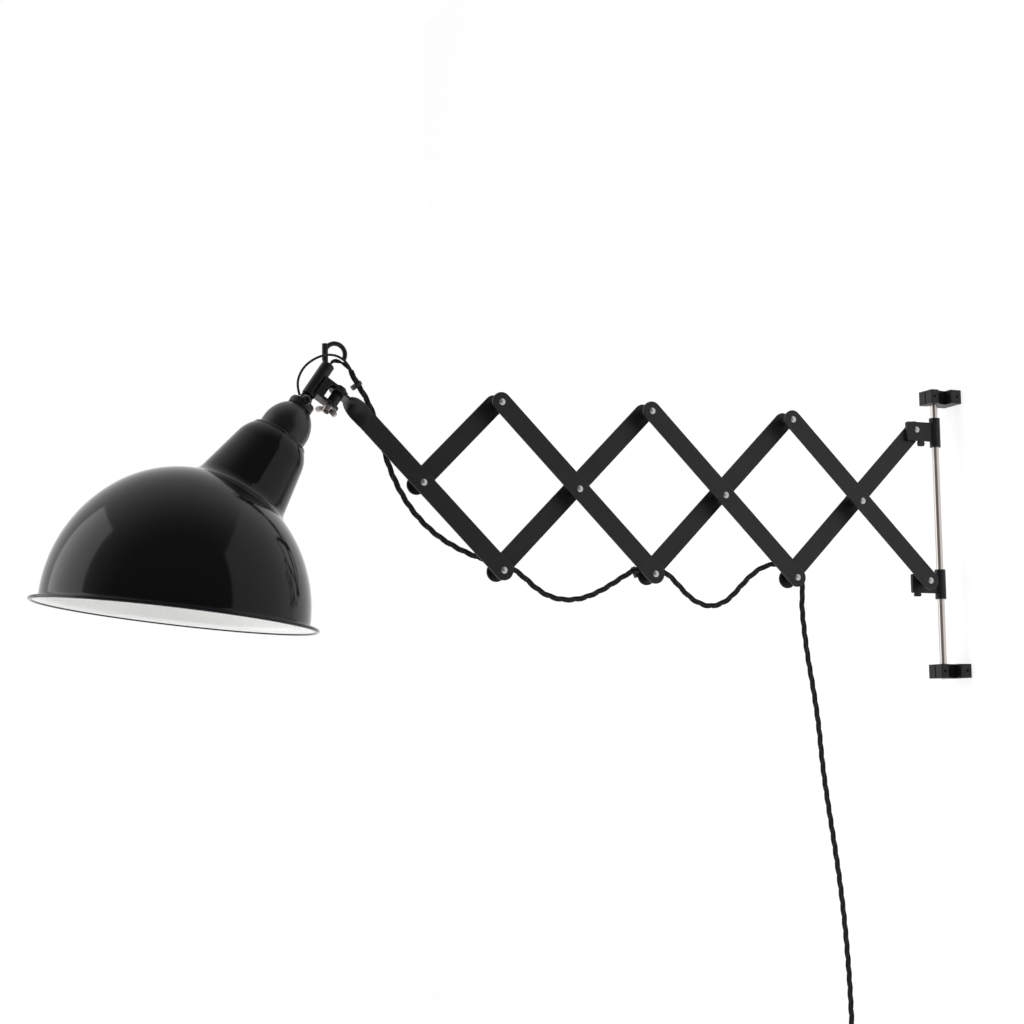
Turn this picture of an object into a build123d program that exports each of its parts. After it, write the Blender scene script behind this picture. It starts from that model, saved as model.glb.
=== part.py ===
from build123d import *
from math import asin, cos, hypot, pi, radians, sin, sqrt, tan
import os

# Accordion wall lamp: a round rod in two wall brackets, two sliders on it, a
# scissor arm of seven flat bars and a half bar, a swivelling and tilting head
# with an angled-neck enamel shade, and a twisted textile cord along the arm.
#
# Millimetres. X = 0 is the wall and the arm reaches along -X, Y = 0 is the
# plane of the rod, Z = 0 is midway between the two wall brackets, +Z is up.

# Rod and wall brackets
rod_diameter = 8.0
rod_to_wall = 27.0
rod_overhang = 1.0
clamp_clearance = 0.02
bracket_spacing = 318.0
bracket_height = 16.0
bracket_front_reach = 11.5
bracket_front_width = 26.0
bracket_side_flat = 9.0
bracket_waist_width = 12.0
bracket_corner = 1.2
flange_width = 34.0
flange_depth = 15.0
stud_hole_diameter = 8.2
stud_hole_depth = 13.0
set_screw_diameter = 4.0
set_screw_setback = 6.5
set_screw_recess = 0.6
clamp_slit = 1.6
clamp_screw_diameter = 4.0
clamp_screw_setback = 4.3
clamp_head_diameter = 7.0
clamp_head_height = 4.0
hole_clearance = 0.1

# Scissor arm
pivot_spacing = 125.0
fold_angle = 45.0
arm_middle_z = 32.0
crossings = 4
bar_width = 21.0
bar_thickness = 2.5
bar_edge_break = 0.4
plane_gap = 18.5
pivot_washer = 0.6
rivet_diameter = 5.0
rivet_head_diameter = 7.0
rivet_head_height = 1.6
rivet_head_edge = 0.4
running_clearance = 0.08
spacer_diameter = 9.0

# Sliders on the rod
slider_reach = 26.0
sleeve_diameter = 12.6
sleeve_length = 33.0
slider_drop = 2.0
liner_wall = 0.9
liner_flange = 1.0
lug_thickness = 4.0
lug_height = 22.0
lug_overhang = 13.5
lug_corner = 2.0
lock_screw_diameter = 3.0
lock_head_width = 8.5
lock_head_thickness = 4.0
upper_lock_offset = 6.0
upper_lock_height = 6.0
lower_lock_offset = -6.0
lower_lock_height = 4.0

# Twisted end of the lamp-side bar, and the swivel joint on it
twist_start = 86.0
bend_reach = 109.0
tip_length = 17.5
twist_steps = 8
head_lean = 34.0
bolt_diameter = 6.0
bolt_head_flats = 10.0
bolt_head_height = 3.0
clevis_offset = 24.5
clevis_bottom = 11.5
clevis_plate = 3.0
clevis_width = 18.0
clevis_web_reach = 12.5
clevis_saddle = 3.4
bush_diameter = 12.0
tip_above_tilt = 28.5
swivel_play = 0.1
nut_height = 6.0
nut_diameter = 10.0
wing_span = 27.0
wing_height = 9.0
wing_thickness = 2.4

# Stem, hanging hook and tilt joint
stem_diameter = 13.8
stem_wall = 1.6
stem_bottom = 8.0
stem_top = 47.0
stem_floor = 3.0
tongue_thickness = 5.6
tongue_radius = 6.0
stem_screw_height = 22.5
stem_screw_head = 4.6
hook_wire = 4.8
hook_radius = 10.6
hook_post_diameter = 6.2
hook_post_rise = 21.2
hook_post_offset = -3.9
hook_ring_drop = 9.8
hook_end_angle = -32
tilt_screw_diameter = 5.0
tilt_head_diameter = 8.4
tilt_head_height = 2.8
tilt_nut_flats = 8.0
tilt_nut_height = 4.0
terminal_thickness = 0.8
ear_thickness = 3.0
ear_gap = 6.0
ear_radius = 6.5

# Hinge cap, socket cover and lampholder
cap_diameter = 26.0
cap_top = 1.0
cap_height = 8.0
cap_slot_depth = 6.5
nipple_diameter = 10.0
nipple_wall = 1.6
cover_diameter = 50.0
cover_wall = 1.2
cover_skirt = 11.0
holder_diameter = 39.0
holder_wall = 5.6
holder_top_gap = 11.0
holder_depth = 26.0
shell_bore = 26.4
shell_wall = 0.5
contact_diameter = 8.0
ring_width = 4.0
ring_height = 6.0

# Enamel shade
neck_top_drop = 44.2
neck_top_radius = 30.2
neck_shoulder_radius = 37.4
neck_shoulder_drop = 18.0
neck_base_radius = 47.2
neck_length = 69.0
neck_root = 45.0
neck_hole_radius = 20.2
neck_angle = 26.0
shade_wall = 0.8
dome_radius = 130.5
dome_height = 139.2
rim_flare_radius = 5.0
rim_flat = 2.7
rim_bead = 3.6
rim_centre_drop = 252.7
rim_centre_offset = -13.7
junction_fillet = 6.0

# Cord, leads, ties and plug
cord_diameter = 6.2
supply_diameter = 4.2
lead_diameter = 2.6
lead_exit_x = 2.2
lead_exit_y = 2.2
coil_radius = 31.0
coil_turns = 5
coil_pitch = 6.8
coil_tie_thickness = 1.0
coil_tie_width = 9.0
tie_band = 1.1
tie_width = 3.6
tie_head = 4.6
plug_diameter = 37.0
plug_length = 34.0
plug_neck_length = 26.0
plug_neck_diameter = 9.0
plug_pin_diameter = 4.8
plug_pin_length = 19.0
plug_pin_spacing = 19.0
tail_length = 22.0
soft_gap = 0.3

# Places that follow from the sizes above
rod_x = -rod_to_wall
pivot_x = rod_x - slider_reach
step = pivot_spacing * cos(radians(fold_angle))
rise = pivot_spacing * sin(radians(fold_angle))
back_front_y = lug_thickness / 2 + pivot_washer
back_rear_y = back_front_y + bar_thickness
front_rear_y = back_front_y - plane_gap
front_front_y = front_rear_y - bar_thickness
head_y = front_rear_y - bar_thickness / 2
cord_y = round((back_front_y + front_rear_y) / 2, 1)
hole_radius = rivet_diameter / 2 + running_clearance
lug_front_y = -lug_thickness / 2
upper_z = arm_middle_z + rise
lower_z = arm_middle_z - rise


def middle(number):
    """The crossing of front bar and back bar with this number."""
    return (pivot_x - (2 * (crossings - number) + 1) * step, arm_middle_z)


def top(number):
    """The upper joint between crossings; the last one is on the upper slider."""
    return (pivot_x - 2 * (crossings - number) * step, upper_z)


def bottom(number):
    """The lower joint between crossings; the last one is on the lower slider."""
    return (pivot_x - 2 * (crossings - number) * step, lower_z)


def write(name, *solids):
    """Write one node from one or more separate solids."""
    shape = solids[0] if len(solids) == 1 else Compound(children=list(solids))
    export_step(shape, f"parts/{name}.step")


def along_y(x, z, y0, y1, radius):
    """A cylinder along Y between two planes."""
    plane = Plane(origin=(x, y0, z), x_dir=(1, 0, 0), z_dir=(0, 1, 0))
    return extrude(plane * Circle(radius), y1 - y0)


def along_z(radius, z0, z1, x=0.0, y=0.0):
    """A cylinder along Z between two planes."""
    return extrude(Plane.XY.offset(z0) * Pos(x, y) * Circle(radius), z1 - z0)


def block(x0, x1, y0, y1, z0, z1):
    """A box from its six faces."""
    centre = ((x0 + x1) / 2, (y0 + y1) / 2, (z0 + z1) / 2)
    return Pos(*centre) * Box(x1 - x0, y1 - y0, z1 - z0)


def hexagon(flats):
    """A hexagon with this width across its flats."""
    return RegularPolygon(flats / 2, 6, major_radius=False)


def turned(profile):
    """A body turned about Z from a closed outline of edges in the XZ plane."""
    return revolve(make_face(profile), Axis.Z)


def outline(*points):
    """Straight edges through (radius, height) points, as a closed outline."""
    return Polyline(*[(r, 0, z) for r, z in points], close=True)


def solid_of(shape):
    """The one solid of a boolean's result."""
    return shape.solids().sort_by(SortBy.VOLUME)[-1]


# ---------------------------------------------------------------- wall side
def bracket(z):
    """A clamp bracket: split block on the rod, drawn-in waist, wall flange."""
    front = rod_x - bracket_front_reach
    flat_end = front + bracket_side_flat
    half_front = bracket_front_width / 2
    half_waist = bracket_waist_width / 2
    shoulder = -flange_depth
    waist_mid = ((flat_end + shoulder) / 2 + 1.5, half_waist + 0.8)
    edges = []
    for side in (1, -1):
        edges += [
            Line((0, 0), (0, side * flange_width / 2)),
            Line((0, side * flange_width / 2), (shoulder, side * flange_width / 2)),
            Line((shoulder, side * flange_width / 2), (shoulder, side * half_waist)),
            ThreePointArc(
                (shoulder, side * half_waist),
                (waist_mid[0], side * waist_mid[1]),
                (flat_end, side * half_front),
            ),
            Line((flat_end, side * half_front), (front, side * half_front)),
            Line((front, side * half_front), (front, 0)),
        ]
    plan = make_face(edges)
    body = extrude(Plane.XY.offset(z - bracket_height / 2) * plan, bracket_height)
    corners = body.edges().filter_by(Axis.Z)
    sharp = [e for e in corners if abs(e.center().X - front) < 0.1 and abs(e.center().Y) > 1]
    sharp += [e for e in corners if abs(e.center().Y) > flange_width / 2 - 0.1]
    body = fillet(sharp, bracket_corner)
    low, high = z - bracket_height, z + bracket_height
    body -= along_z(rod_diameter / 2 + clamp_clearance, low, high, rod_x)
    body -= block(front - 1, rod_x, -clamp_slit / 2, clamp_slit / 2, low, high)
    screw_x = front + clamp_screw_setback
    shank = clamp_screw_diameter / 2 + hole_clearance / 2
    head = clamp_head_diameter / 2 + hole_clearance
    body -= along_y(screw_x, z, -half_front - 1, half_front - 3, shank)
    body -= along_y(screw_x, z, -half_front - 1, clamp_head_height - half_front, head)
    wall = Plane(origin=(0, 0, z), z_dir=(-1, 0, 0))
    body -= extrude(wall * Circle(stud_hole_diameter / 2), stud_hole_depth)
    body -= along_y(-set_screw_setback, z, -flange_width, 0, set_screw_diameter / 2 + hole_clearance / 2)
    return solid_of(body)


def set_screw(z):
    """The grub screw in a flange's side that locks it on its wall stud."""
    y0 = -flange_width / 2 + set_screw_recess
    y1 = -stud_hole_diameter / 2 - 0.2
    screw = along_y(-set_screw_setback, z, y0, y1, set_screw_diameter / 2)
    socket = Plane(origin=(-set_screw_setback, y0, z), x_dir=(1, 0, 0), z_dir=(0, 1, 0))
    return solid_of(screw - extrude(socket * hexagon(2.0), 1.8))


def clamp_screw(z):
    """The socket-head screw that closes a bracket on the rod."""
    x = rod_x - bracket_front_reach + clamp_screw_setback
    y0 = -bracket_front_width / 2
    y1 = bracket_front_width / 2 - 3.2
    screw = along_y(x, z, y0, y0 + clamp_head_height, clamp_head_diameter / 2)
    screw += along_y(x, z, y0 + clamp_head_height, y1, clamp_screw_diameter / 2)
    socket = Plane(origin=(x, y0, z), x_dir=(1, 0, 0), z_dir=(0, 1, 0))
    return solid_of(screw - extrude(socket * hexagon(3.0), 2.0))


# ---------------------------------------------------------------- sliders
def liner(z):
    """The plastic liner that runs on the rod inside a sleeve."""
    bore = rod_diameter / 2 + running_clearance
    low = z - slider_drop - sleeve_length / 2
    high = low + sleeve_length
    body = along_z(bore + liner_wall, low, high, rod_x)
    body += along_z(sleeve_diameter / 2, low - liner_flange, low, rod_x)
    return solid_of(body - along_z(bore, low - 2, high + 1, rod_x))


def slider(z, lock_offset):
    """A sleeve on the rod with the flat lug that the arm is riveted to."""
    centre_z = z - slider_drop
    low = centre_z - sleeve_length / 2
    sleeve = along_z(sleeve_diameter / 2, low, low + sleeve_length, rod_x)
    lug_end = pivot_x - lug_overhang
    half = lug_height / 2
    lug = block(lug_end, rod_x, -lug_thickness / 2, lug_thickness / 2, centre_z - half, centre_z + half)
    outer = [e for e in lug.edges().filter_by(Axis.Y) if e.center().X < lug_end + 0.1]
    body = fillet(outer, lug_corner) + sleeve
    bore = rod_diameter / 2 + 2 * running_clearance + liner_wall
    body -= along_z(bore, low - 1, low + sleeve_length + 1, rod_x)
    body -= along_y(pivot_x, z, -lug_thickness, lug_thickness, hole_radius)
    hole_x = pivot_x + lock_offset
    hole = along_z(lock_screw_diameter / 2, centre_z - half - 1, centre_z - half + 4, hole_x)
    return solid_of(body - hole)


def lock_screw(z, lock_offset, head_height):
    """The thumb screw under a lug, its flat head in line with the lug."""
    under = z - slider_drop - lug_height / 2
    x = pivot_x + lock_offset
    half, waist = lock_head_width / 2, lock_head_width / 2 - 1.2
    points = [(-waist, 0), (waist, 0), (half, -head_height / 2), (waist, -head_height),
              (-waist, -head_height), (-half, -head_height / 2)]
    face = make_face(Polyline(*[(x + a, 0, under + b) for a, b in points], close=True))
    head = extrude(face, lock_head_thickness / 2, both=True)
    head = chamfer(head.edges().filter_by(Axis.Y), 0.4)
    return solid_of(head + along_z(lock_screw_diameter / 2, under, under + 4, x))


# ---------------------------------------------------------------- scissor arm
def rivet(x, z, y0, y1):
    """A rivet with a low domed head outside each of two planes."""
    radius, head, edge = rivet_diameter / 2, rivet_head_diameter / 2, rivet_head_edge
    crown = rivet_head_height - edge
    ball = (head**2 + crown**2) / (2 * crown)
    half = asin(head / ball) / 2
    mid_r, mid_z = ball * sin(half), rivet_head_height - ball * (1 - cos(half))
    top_z, low_z = y1 - y0, 0
    side = [
        Line((0, 0, low_z - rivet_head_height), (0, 0, top_z + rivet_head_height)),
        ThreePointArc((0, 0, top_z + rivet_head_height), (mid_r, 0, top_z + mid_z), (head, 0, top_z + edge)),
        Line((head, 0, top_z + edge), (head, 0, top_z)),
        Line((head, 0, top_z), (radius, 0, top_z)),
        Line((radius, 0, top_z), (radius, 0, low_z)),
        Line((radius, 0, low_z), (head, 0, low_z)),
        Line((head, 0, low_z), (head, 0, low_z - edge)),
        ThreePointArc((head, 0, low_z - edge), (mid_r, 0, low_z - mid_z), (0, 0, low_z - rivet_head_height)),
    ]
    place = Plane(origin=(x, y0, z), x_dir=(1, 0, 0), z_dir=(0, 1, 0))
    return place.location * turned(side)


def spacer(x, z, y0, y1):
    """The tube that keeps the two planes of bars apart."""
    return along_y(x, z, y0, y1, spacer_diameter / 2) - along_y(x, z, y0, y1, hole_radius)


def bar(start, end, y0, holes):
    """A flat bar with round ends between two pivots, pierced at each pivot."""
    (x0, z0), (x1, z1) = start, end
    length = hypot(x1 - x0, z1 - z0)
    place = Plane(
        origin=((x0 + x1) / 2, y0, (z0 + z1) / 2),
        x_dir=((x1 - x0) / length, 0, (z1 - z0) / length),
        z_dir=(0, 1, 0),
    )
    body = extrude(place * SlotCenterToCenter(length, bar_width), bar_thickness)
    rims = body.edges().group_by(Axis.Y)
    body = chamfer(rims[0] + rims[-1], bar_edge_break)
    for x, z in holes:
        body -= along_y(x, z, y0 - 1, y0 + bar_thickness + 1, hole_radius)
    return solid_of(body)


# ---------------------------------------------------------------- lamp end
bar_lean = radians(fold_angle)
bar_dir = Vector(-cos(bar_lean), 0, sin(bar_lean))
lean = radians(head_lean)
stem_dir = Vector(sin(lean), 0, cos(lean))
reach_dir = Vector(cos(lean), 0, -sin(lean))
first_middle = Vector(middle(1)[0], head_y, arm_middle_z)
bend_point = first_middle + bar_dir * bend_reach
swivel_point = bend_point - reach_dir * tip_length
tilt_point = swivel_point - stem_dir * tip_above_tilt - reach_dir * clevis_offset
head = Plane(origin=tilt_point, x_dir=reach_dir, z_dir=stem_dir)


def lamp_bar():
    """The lamp-side bar: flat to past its crossing, then twisted a quarter turn."""
    end = bottom(1)
    start = first_middle + bar_dir * twist_start
    body = bar(end, (start.X, start.Z), front_front_y, [end, middle(1)])
    round_end = Plane(origin=start, x_dir=(0, 1, 0), z_dir=bar_dir)
    body -= extrude(round_end * Rectangle(3 * bar_width, 3 * bar_width), bar_width)
    finish = swivel_point + reach_dir * (bar_width / 2)
    sections = []
    for i in range(twist_steps + 1):
        share = i / twist_steps
        turn = radians(90 * share)
        pull = (1 - share) ** 2, 2 * share * (1 - share), share**2
        centre = start * pull[0] + bend_point * pull[1] + finish * pull[2]
        way = (bar_dir * (1 - share) - reach_dir * share).normalized()
        across = Vector(0, 1, 0).cross(way) * -cos(turn) + Vector(0, 1, 0) * sin(turn)
        sections.append(Plane(origin=centre, x_dir=across, z_dir=way) * Rectangle(bar_width, bar_thickness))
    body += loft(sections, ruled=True)
    low = tip_above_tilt - bar_thickness / 2
    tip = along_z(bar_width / 2, low, low + bar_thickness, clevis_offset)
    tip += block(
        clevis_offset, clevis_offset + bar_width / 2,
        -bar_width / 2, bar_width / 2, low, low + bar_thickness,
    )
    tip -= along_z(bolt_diameter / 2 + running_clearance, low - 1, low + 4, clevis_offset)
    return solid_of(body + head.location * tip)


def clevis():
    """The fork on the stem that holds the twisted bar end."""
    top_z = tip_above_tilt + bar_thickness / 2 + swivel_play + clevis_plate
    half = clevis_width / 2
    body = block(clevis_saddle, clevis_offset, -half, half, clevis_bottom, top_z)
    body += along_z(half, clevis_bottom, top_z, clevis_offset)
    gap_top = top_z - clevis_plate
    gap_low = clevis_bottom + clevis_plate
    body -= block(clevis_web_reach, 2 * clevis_offset, -half - 1, half + 1, gap_low, gap_top)
    body -= along_z(stem_diameter / 2 + clamp_clearance, 0, stem_top)
    body -= along_z(bolt_diameter / 2 + clamp_clearance, 0, stem_top, clevis_offset)
    return head.location * solid_of(body)


def swivel_bolt():
    """The bolt that the head swivels on."""
    top_z = tip_above_tilt + bar_thickness / 2 + swivel_play + clevis_plate
    low = clevis_bottom - nut_height - 1.5
    body = along_z(bolt_diameter / 2, low, top_z, clevis_offset)
    body += extrude(
        Plane.XY.offset(top_z) * Pos(clevis_offset, 0) * hexagon(bolt_head_flats), bolt_head_height
    )
    return head.location * solid_of(body)


def swivel_bush():
    """The bush between the fork's lower plate and the bar end."""
    low = clevis_bottom + clevis_plate
    high = tip_above_tilt - bar_thickness / 2
    body = along_z(bush_diameter / 2, low, high, clevis_offset)
    body -= along_z(bolt_diameter / 2 + clamp_clearance, low, high, clevis_offset)
    return head.location * body


def wing_nut():
    """The wing nut under the fork, its wings across the arm."""
    low = clevis_bottom - nut_height
    hub = Plane.XY.offset(low) * Pos(clevis_offset, 0)
    body = loft([hub * Circle(nut_diameter / 2 - 1), Pos(0, 0, nut_height) * (hub * Circle(nut_diameter / 2))])
    for side in (1, -1):
        reach = wing_span / 2
        tip_low = clevis_bottom - wing_height
        root, top_z = side * (nut_diameter / 2 - 2), clevis_bottom - 1.2
        wing = make_face([
            Line((0, root, low + 0.5), (0, root, top_z)),
            Line((0, root, top_z), (0, side * (reach - 3), top_z - 2)),
            ThreePointArc(
                (0, side * (reach - 3), top_z - 2),
                (0, side * reach, top_z - 4.6),
                (0, side * (reach - 3.4), tip_low),
            ),
            Line((0, side * (reach - 3.4), tip_low), (0, root, low + 0.5)),
        ])
        wing = extrude(wing, wing_thickness / 2, both=True)
        body += Pos(clevis_offset, 0, 0) * wing
    body -= along_z(bolt_diameter / 2 + clamp_clearance, low - wing_height, clevis_bottom + 1, clevis_offset)
    return head.location * solid_of(body)


def stem():
    """The tube between the swivel and the tilt joint, with its hinge tongue."""
    radius = stem_diameter / 2
    body = along_z(radius, stem_bottom, stem_top)
    body = chamfer(body.edges().group_by(Axis.Z)[-1], 1.0)
    body -= along_z(radius - stem_wall, stem_bottom + stem_floor, stem_top - stem_floor)
    half = tongue_thickness / 2
    tongue = block(-tongue_radius, tongue_radius, -half, half, 0, stem_bottom)
    tongue += along_y(0, 0, -half, half, tongue_radius)
    tongue -= along_y(0, 0, -half, half, tilt_screw_diameter / 2 + running_clearance)
    body += tongue
    mouth = supply_diameter / 2 + 2 * hole_clearance
    body -= along_z(mouth, stem_top - 2 * stem_floor, stem_top + 1, lead_exit_x, lead_exit_y)
    screw = Plane(origin=(0, -radius - 1, stem_screw_height), x_dir=(1, 0, 0), z_dir=(0, 1, 0))
    body -= extrude(screw * Circle(1.5 + clamp_clearance), 3)
    return head.location * solid_of(body)


def stem_screw():
    """The small cross screw that holds the fork to the stem."""
    radius = stem_diameter / 2
    seat = Plane(origin=(0, -radius, stem_screw_height), x_dir=(1, 0, 0), z_dir=(0, 1, 0))
    body = extrude(seat * Circle(1.5), stem_wall + 0.2)
    body += extrude(seat * Circle(stem_screw_head / 2), -1.2)
    body -= extrude(seat.offset(-1.2) * Rectangle(stem_screw_head, 0.8), 0.6)
    body -= along_z(radius, stem_screw_height - 4, stem_screw_height + 4) - extrude(seat * Circle(1.5), 6)
    return head.location * solid_of(body)


def hook():
    """The post on the stem with the open ring that the lamp can hang from."""
    foot = tilt_point + stem_dir * stem_top
    post_x = foot.X + hook_post_offset
    post_low = foot.Z - 6
    centre = Vector(post_x + hook_radius, head_y, foot.Z + hook_post_rise - hook_ring_drop)
    post = Pos(post_x, head_y, 0) * along_z(hook_post_diameter / 2, post_low, foot.Z + hook_post_rise)
    place = Plane(origin=centre, x_dir=(1, 0, 0), z_dir=(0, -1, 0))
    path = place * CenterArc((0, 0), hook_radius, hook_end_angle, 160 - hook_end_angle)
    ring = sweep(Plane(origin=path @ 0, z_dir=path % 0) * Circle(hook_wire / 2), path=path)
    body = post + ring
    return solid_of(body - head.location * along_z(stem_diameter, 0, stem_top))


def tilt_screw():
    """The screw through the tilt joint, with its nut, as two solids."""
    outer = ear_gap / 2 + ear_thickness
    front = -outer - terminal_thickness
    shank = along_y(0, 0, front, outer + tilt_nut_height, tilt_screw_diameter / 2)
    cap = along_y(0, 0, front - tilt_head_height, front, tilt_head_diameter / 2)
    cap = chamfer(cap.edges().group_by(Axis.Y)[0], 0.8)
    socket = Plane(origin=(0, front - tilt_head_height, 0), x_dir=(1, 0, 0), z_dir=(0, 1, 0))
    screw = solid_of(shank + cap - extrude(socket * hexagon(3.4), 1.6))
    seat = Plane(origin=(0, outer, 0), x_dir=(1, 0, 0), z_dir=(0, 1, 0))
    nut = extrude(seat * hexagon(tilt_nut_flats), tilt_nut_height)
    nut -= extrude(seat * Circle(tilt_screw_diameter / 2 + clamp_clearance), tilt_nut_height)
    return head.location * screw, head.location * solid_of(nut)


def earth_terminal():
    """The ring terminal of the earth lead under the tilt screw's head."""
    outer = -ear_gap / 2 - ear_thickness
    ring = along_y(0, 0, outer - terminal_thickness, outer, ear_radius - 1.3)
    ring -= along_y(0, 0, outer - terminal_thickness, outer, tilt_screw_diameter / 2 + clamp_clearance)
    return head.location * ring


def hinge_cap():
    """The turned cap on the socket cover, with two ears for the tilt screw."""
    half = ear_gap / 2
    low = -cap_top - cap_height
    body = along_z(cap_diameter / 2, low, -cap_top)
    body = fillet(body.edges().group_by(Axis.Z)[-1], 1.5)
    for side in (1, -1):
        near, far = sorted((side * half, side * (half + ear_thickness)))
        ear = along_y(0, 0, near, far, ear_radius)
        ear += block(-ear_radius, ear_radius, near, far, -cap_top - 2, 0)
        body += ear
    body -= block(-cap_diameter, cap_diameter, -half, half, -cap_slot_depth - cap_top, cap_diameter)
    body -= along_y(0, 0, -cap_diameter, cap_diameter, tilt_screw_diameter / 2 + running_clearance)
    body -= along_y(0, 0, half + ear_thickness, cap_diameter, ear_radius - 0.8)
    body -= along_y(0, 0, -cap_diameter, -half - ear_thickness, ear_radius - 0.8)
    body -= along_z(nipple_diameter / 2 + clamp_clearance, low - 1, 0)
    return head.location * solid_of(body)


cap_low = -cap_top - cap_height
holder_top = cap_low - holder_top_gap
holder_mouth = holder_top - 8 - holder_depth - 10


def cover_profile(inset):
    """The half outline of the bell-shaped socket cover, inset by a wall."""
    radius = cover_diameter / 2 - inset
    skirt_top = -neck_top_drop + cover_skirt
    crown = cap_low - inset
    shoulder = (0.86 * radius, 0, skirt_top + 0.52 * (crown - skirt_top))
    neck = 0.48 * radius
    return [
        Line((0, 0, crown), (neck, 0, crown)),
        ThreePointArc((neck, 0, crown), shoulder, (radius, 0, skirt_top)),
        Line((radius, 0, skirt_top), (radius, 0, -neck_top_drop)),
        Line((radius, 0, -neck_top_drop), (0, 0, -neck_top_drop)),
        Line((0, 0, -neck_top_drop), (0, 0, crown)),
    ]


def socket_cover():
    """The pressed bell over the lampholder."""
    body = turned(cover_profile(0)) - turned(cover_profile(cover_wall))
    body -= along_z(nipple_diameter / 2 + clamp_clearance, -cover_diameter, 0)
    return head.location * solid_of(body)


def nipple():
    """The hollow screw that joins cap, cover and lampholder."""
    low, high = holder_top - 4, -cap_top - cap_slot_depth - 0.5
    body = along_z(nipple_diameter / 2, low, high)
    return head.location * (body - along_z(nipple_diameter / 2 - nipple_wall, low, high))


def lampholder():
    """The lampholder's body: a crown on the hollow screw and an open skirt."""
    radius = holder_diameter / 2
    bore = shell_bore / 2 + shell_wall + clamp_clearance
    shelf = holder_mouth + holder_depth + 8
    body = turned(outline(
        (nipple_diameter / 2 + clamp_clearance, holder_top),
        (0.62 * radius, holder_top),
        (radius, holder_top - 7),
        (radius, holder_mouth),
        (bore, holder_mouth),
        (bore, shelf),
        (nipple_diameter / 2 + clamp_clearance, shelf),
    ))
    return head.location * body


def screw_shell():
    """The threaded metal shell inside the lampholder."""
    low, high = holder_mouth + 3, holder_mouth + 3 + holder_depth
    body = along_z(shell_bore / 2 + shell_wall, low, high)
    return head.location * (body - along_z(shell_bore / 2, low, high))


def centre_contact():
    """The sprung tongue and its rivet at the bottom of the lampholder."""
    shelf = holder_mouth + holder_depth + 8
    body = along_z(contact_diameter / 2, shelf - 3, shelf - 2.4)
    post = block(contact_diameter / 2 - 1, shell_bore / 2 - 1, -2, 2, shelf - 3, shelf - 2.4)
    leg = block(shell_bore / 2 - 2, shell_bore / 2 - 1, -2, 2, shelf - 3, shelf)
    return head.location * solid_of(body + post + leg)


def shade_ring():
    """The ring on the lampholder that clamps the shade's neck."""
    high = -neck_top_drop - shade_wall
    inner = holder_diameter / 2 + hole_clearance / 2
    body = along_z(inner + ring_width, high - ring_height, high)
    return head.location * (body - along_z(inner, high - ring_height, high))


def neck_solid(inset):
    """The tapered neck with its rounded shoulder, inset by a wall."""
    top_z = -neck_top_drop - inset
    lip = neck_top_radius - inset
    shoulder = neck_shoulder_radius - inset
    low = -neck_top_drop - neck_length
    shoulder_z = -neck_top_drop - neck_shoulder_drop
    slope = (neck_base_radius - neck_shoulder_radius) / (neck_length - neck_shoulder_drop)
    inside = low - neck_root
    return turned([
        Line((0, 0, top_z), (lip - 3.4, 0, top_z)),
        ThreePointArc((lip - 3.4, 0, top_z), (lip - 0.9, 0, top_z - 1.2), (lip, 0, top_z - 3.6)),
        ThreePointArc(
            (lip, 0, top_z - 3.6),
            ((lip + shoulder) / 2 + 0.8, 0, (top_z - 3.6 + shoulder_z) / 2 + 0.5),
            (shoulder, 0, shoulder_z),
        ),
        Line((shoulder, 0, shoulder_z), (shoulder + slope * (shoulder_z - inside), 0, inside)),
        Line((shoulder + slope * (shoulder_z - inside), 0, inside), (0, 0, inside)),
        Line((0, 0, inside), (0, 0, top_z)),
    ])


bowl_lean = radians(head_lean - neck_angle)
rim = Plane(
    origin=tilt_point - stem_dir * rim_centre_drop + reach_dir * rim_centre_offset,
    x_dir=(-cos(bowl_lean), 0, sin(bowl_lean)),
    z_dir=(sin(bowl_lean), 0, cos(bowl_lean)),
)
bowl_foot = rim_flare_radius + shade_wall
bead_centre = dome_radius + rim_flare_radius + rim_flat


def dome_solid(inset):
    """The bowl above its flared foot: a crown arc and a side arc, inset by a wall."""
    crown = dome_radius**2 / dome_height
    side = dome_height * (dome_height + dome_radius) / (2 * dome_radius)
    side_x, crown_z = dome_radius - side, bowl_foot + dome_height - crown
    apart = hypot(side_x, crown_z - bowl_foot)
    join = Vector(abs(side_x), 0, abs(crown_z - bowl_foot)) / apart

    def on_side(way):
        return Vector(side_x, 0, bowl_foot) + way * (side - inset)

    def on_crown(way):
        return Vector(0, 0, crown_z) + way * (crown - inset)

    foot, top = Vector(1, 0, 0), Vector(0, 0, 1)
    meeting = on_side(join)
    return turned([
        ThreePointArc(on_side(foot), on_side((foot + join).normalized()), meeting),
        ThreePointArc(meeting, on_crown((join + top).normalized()), on_crown(top)),
        Line(on_crown(top), (0, 0, bowl_foot)),
        Line((0, 0, bowl_foot), on_side(foot)),
    ])


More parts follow.
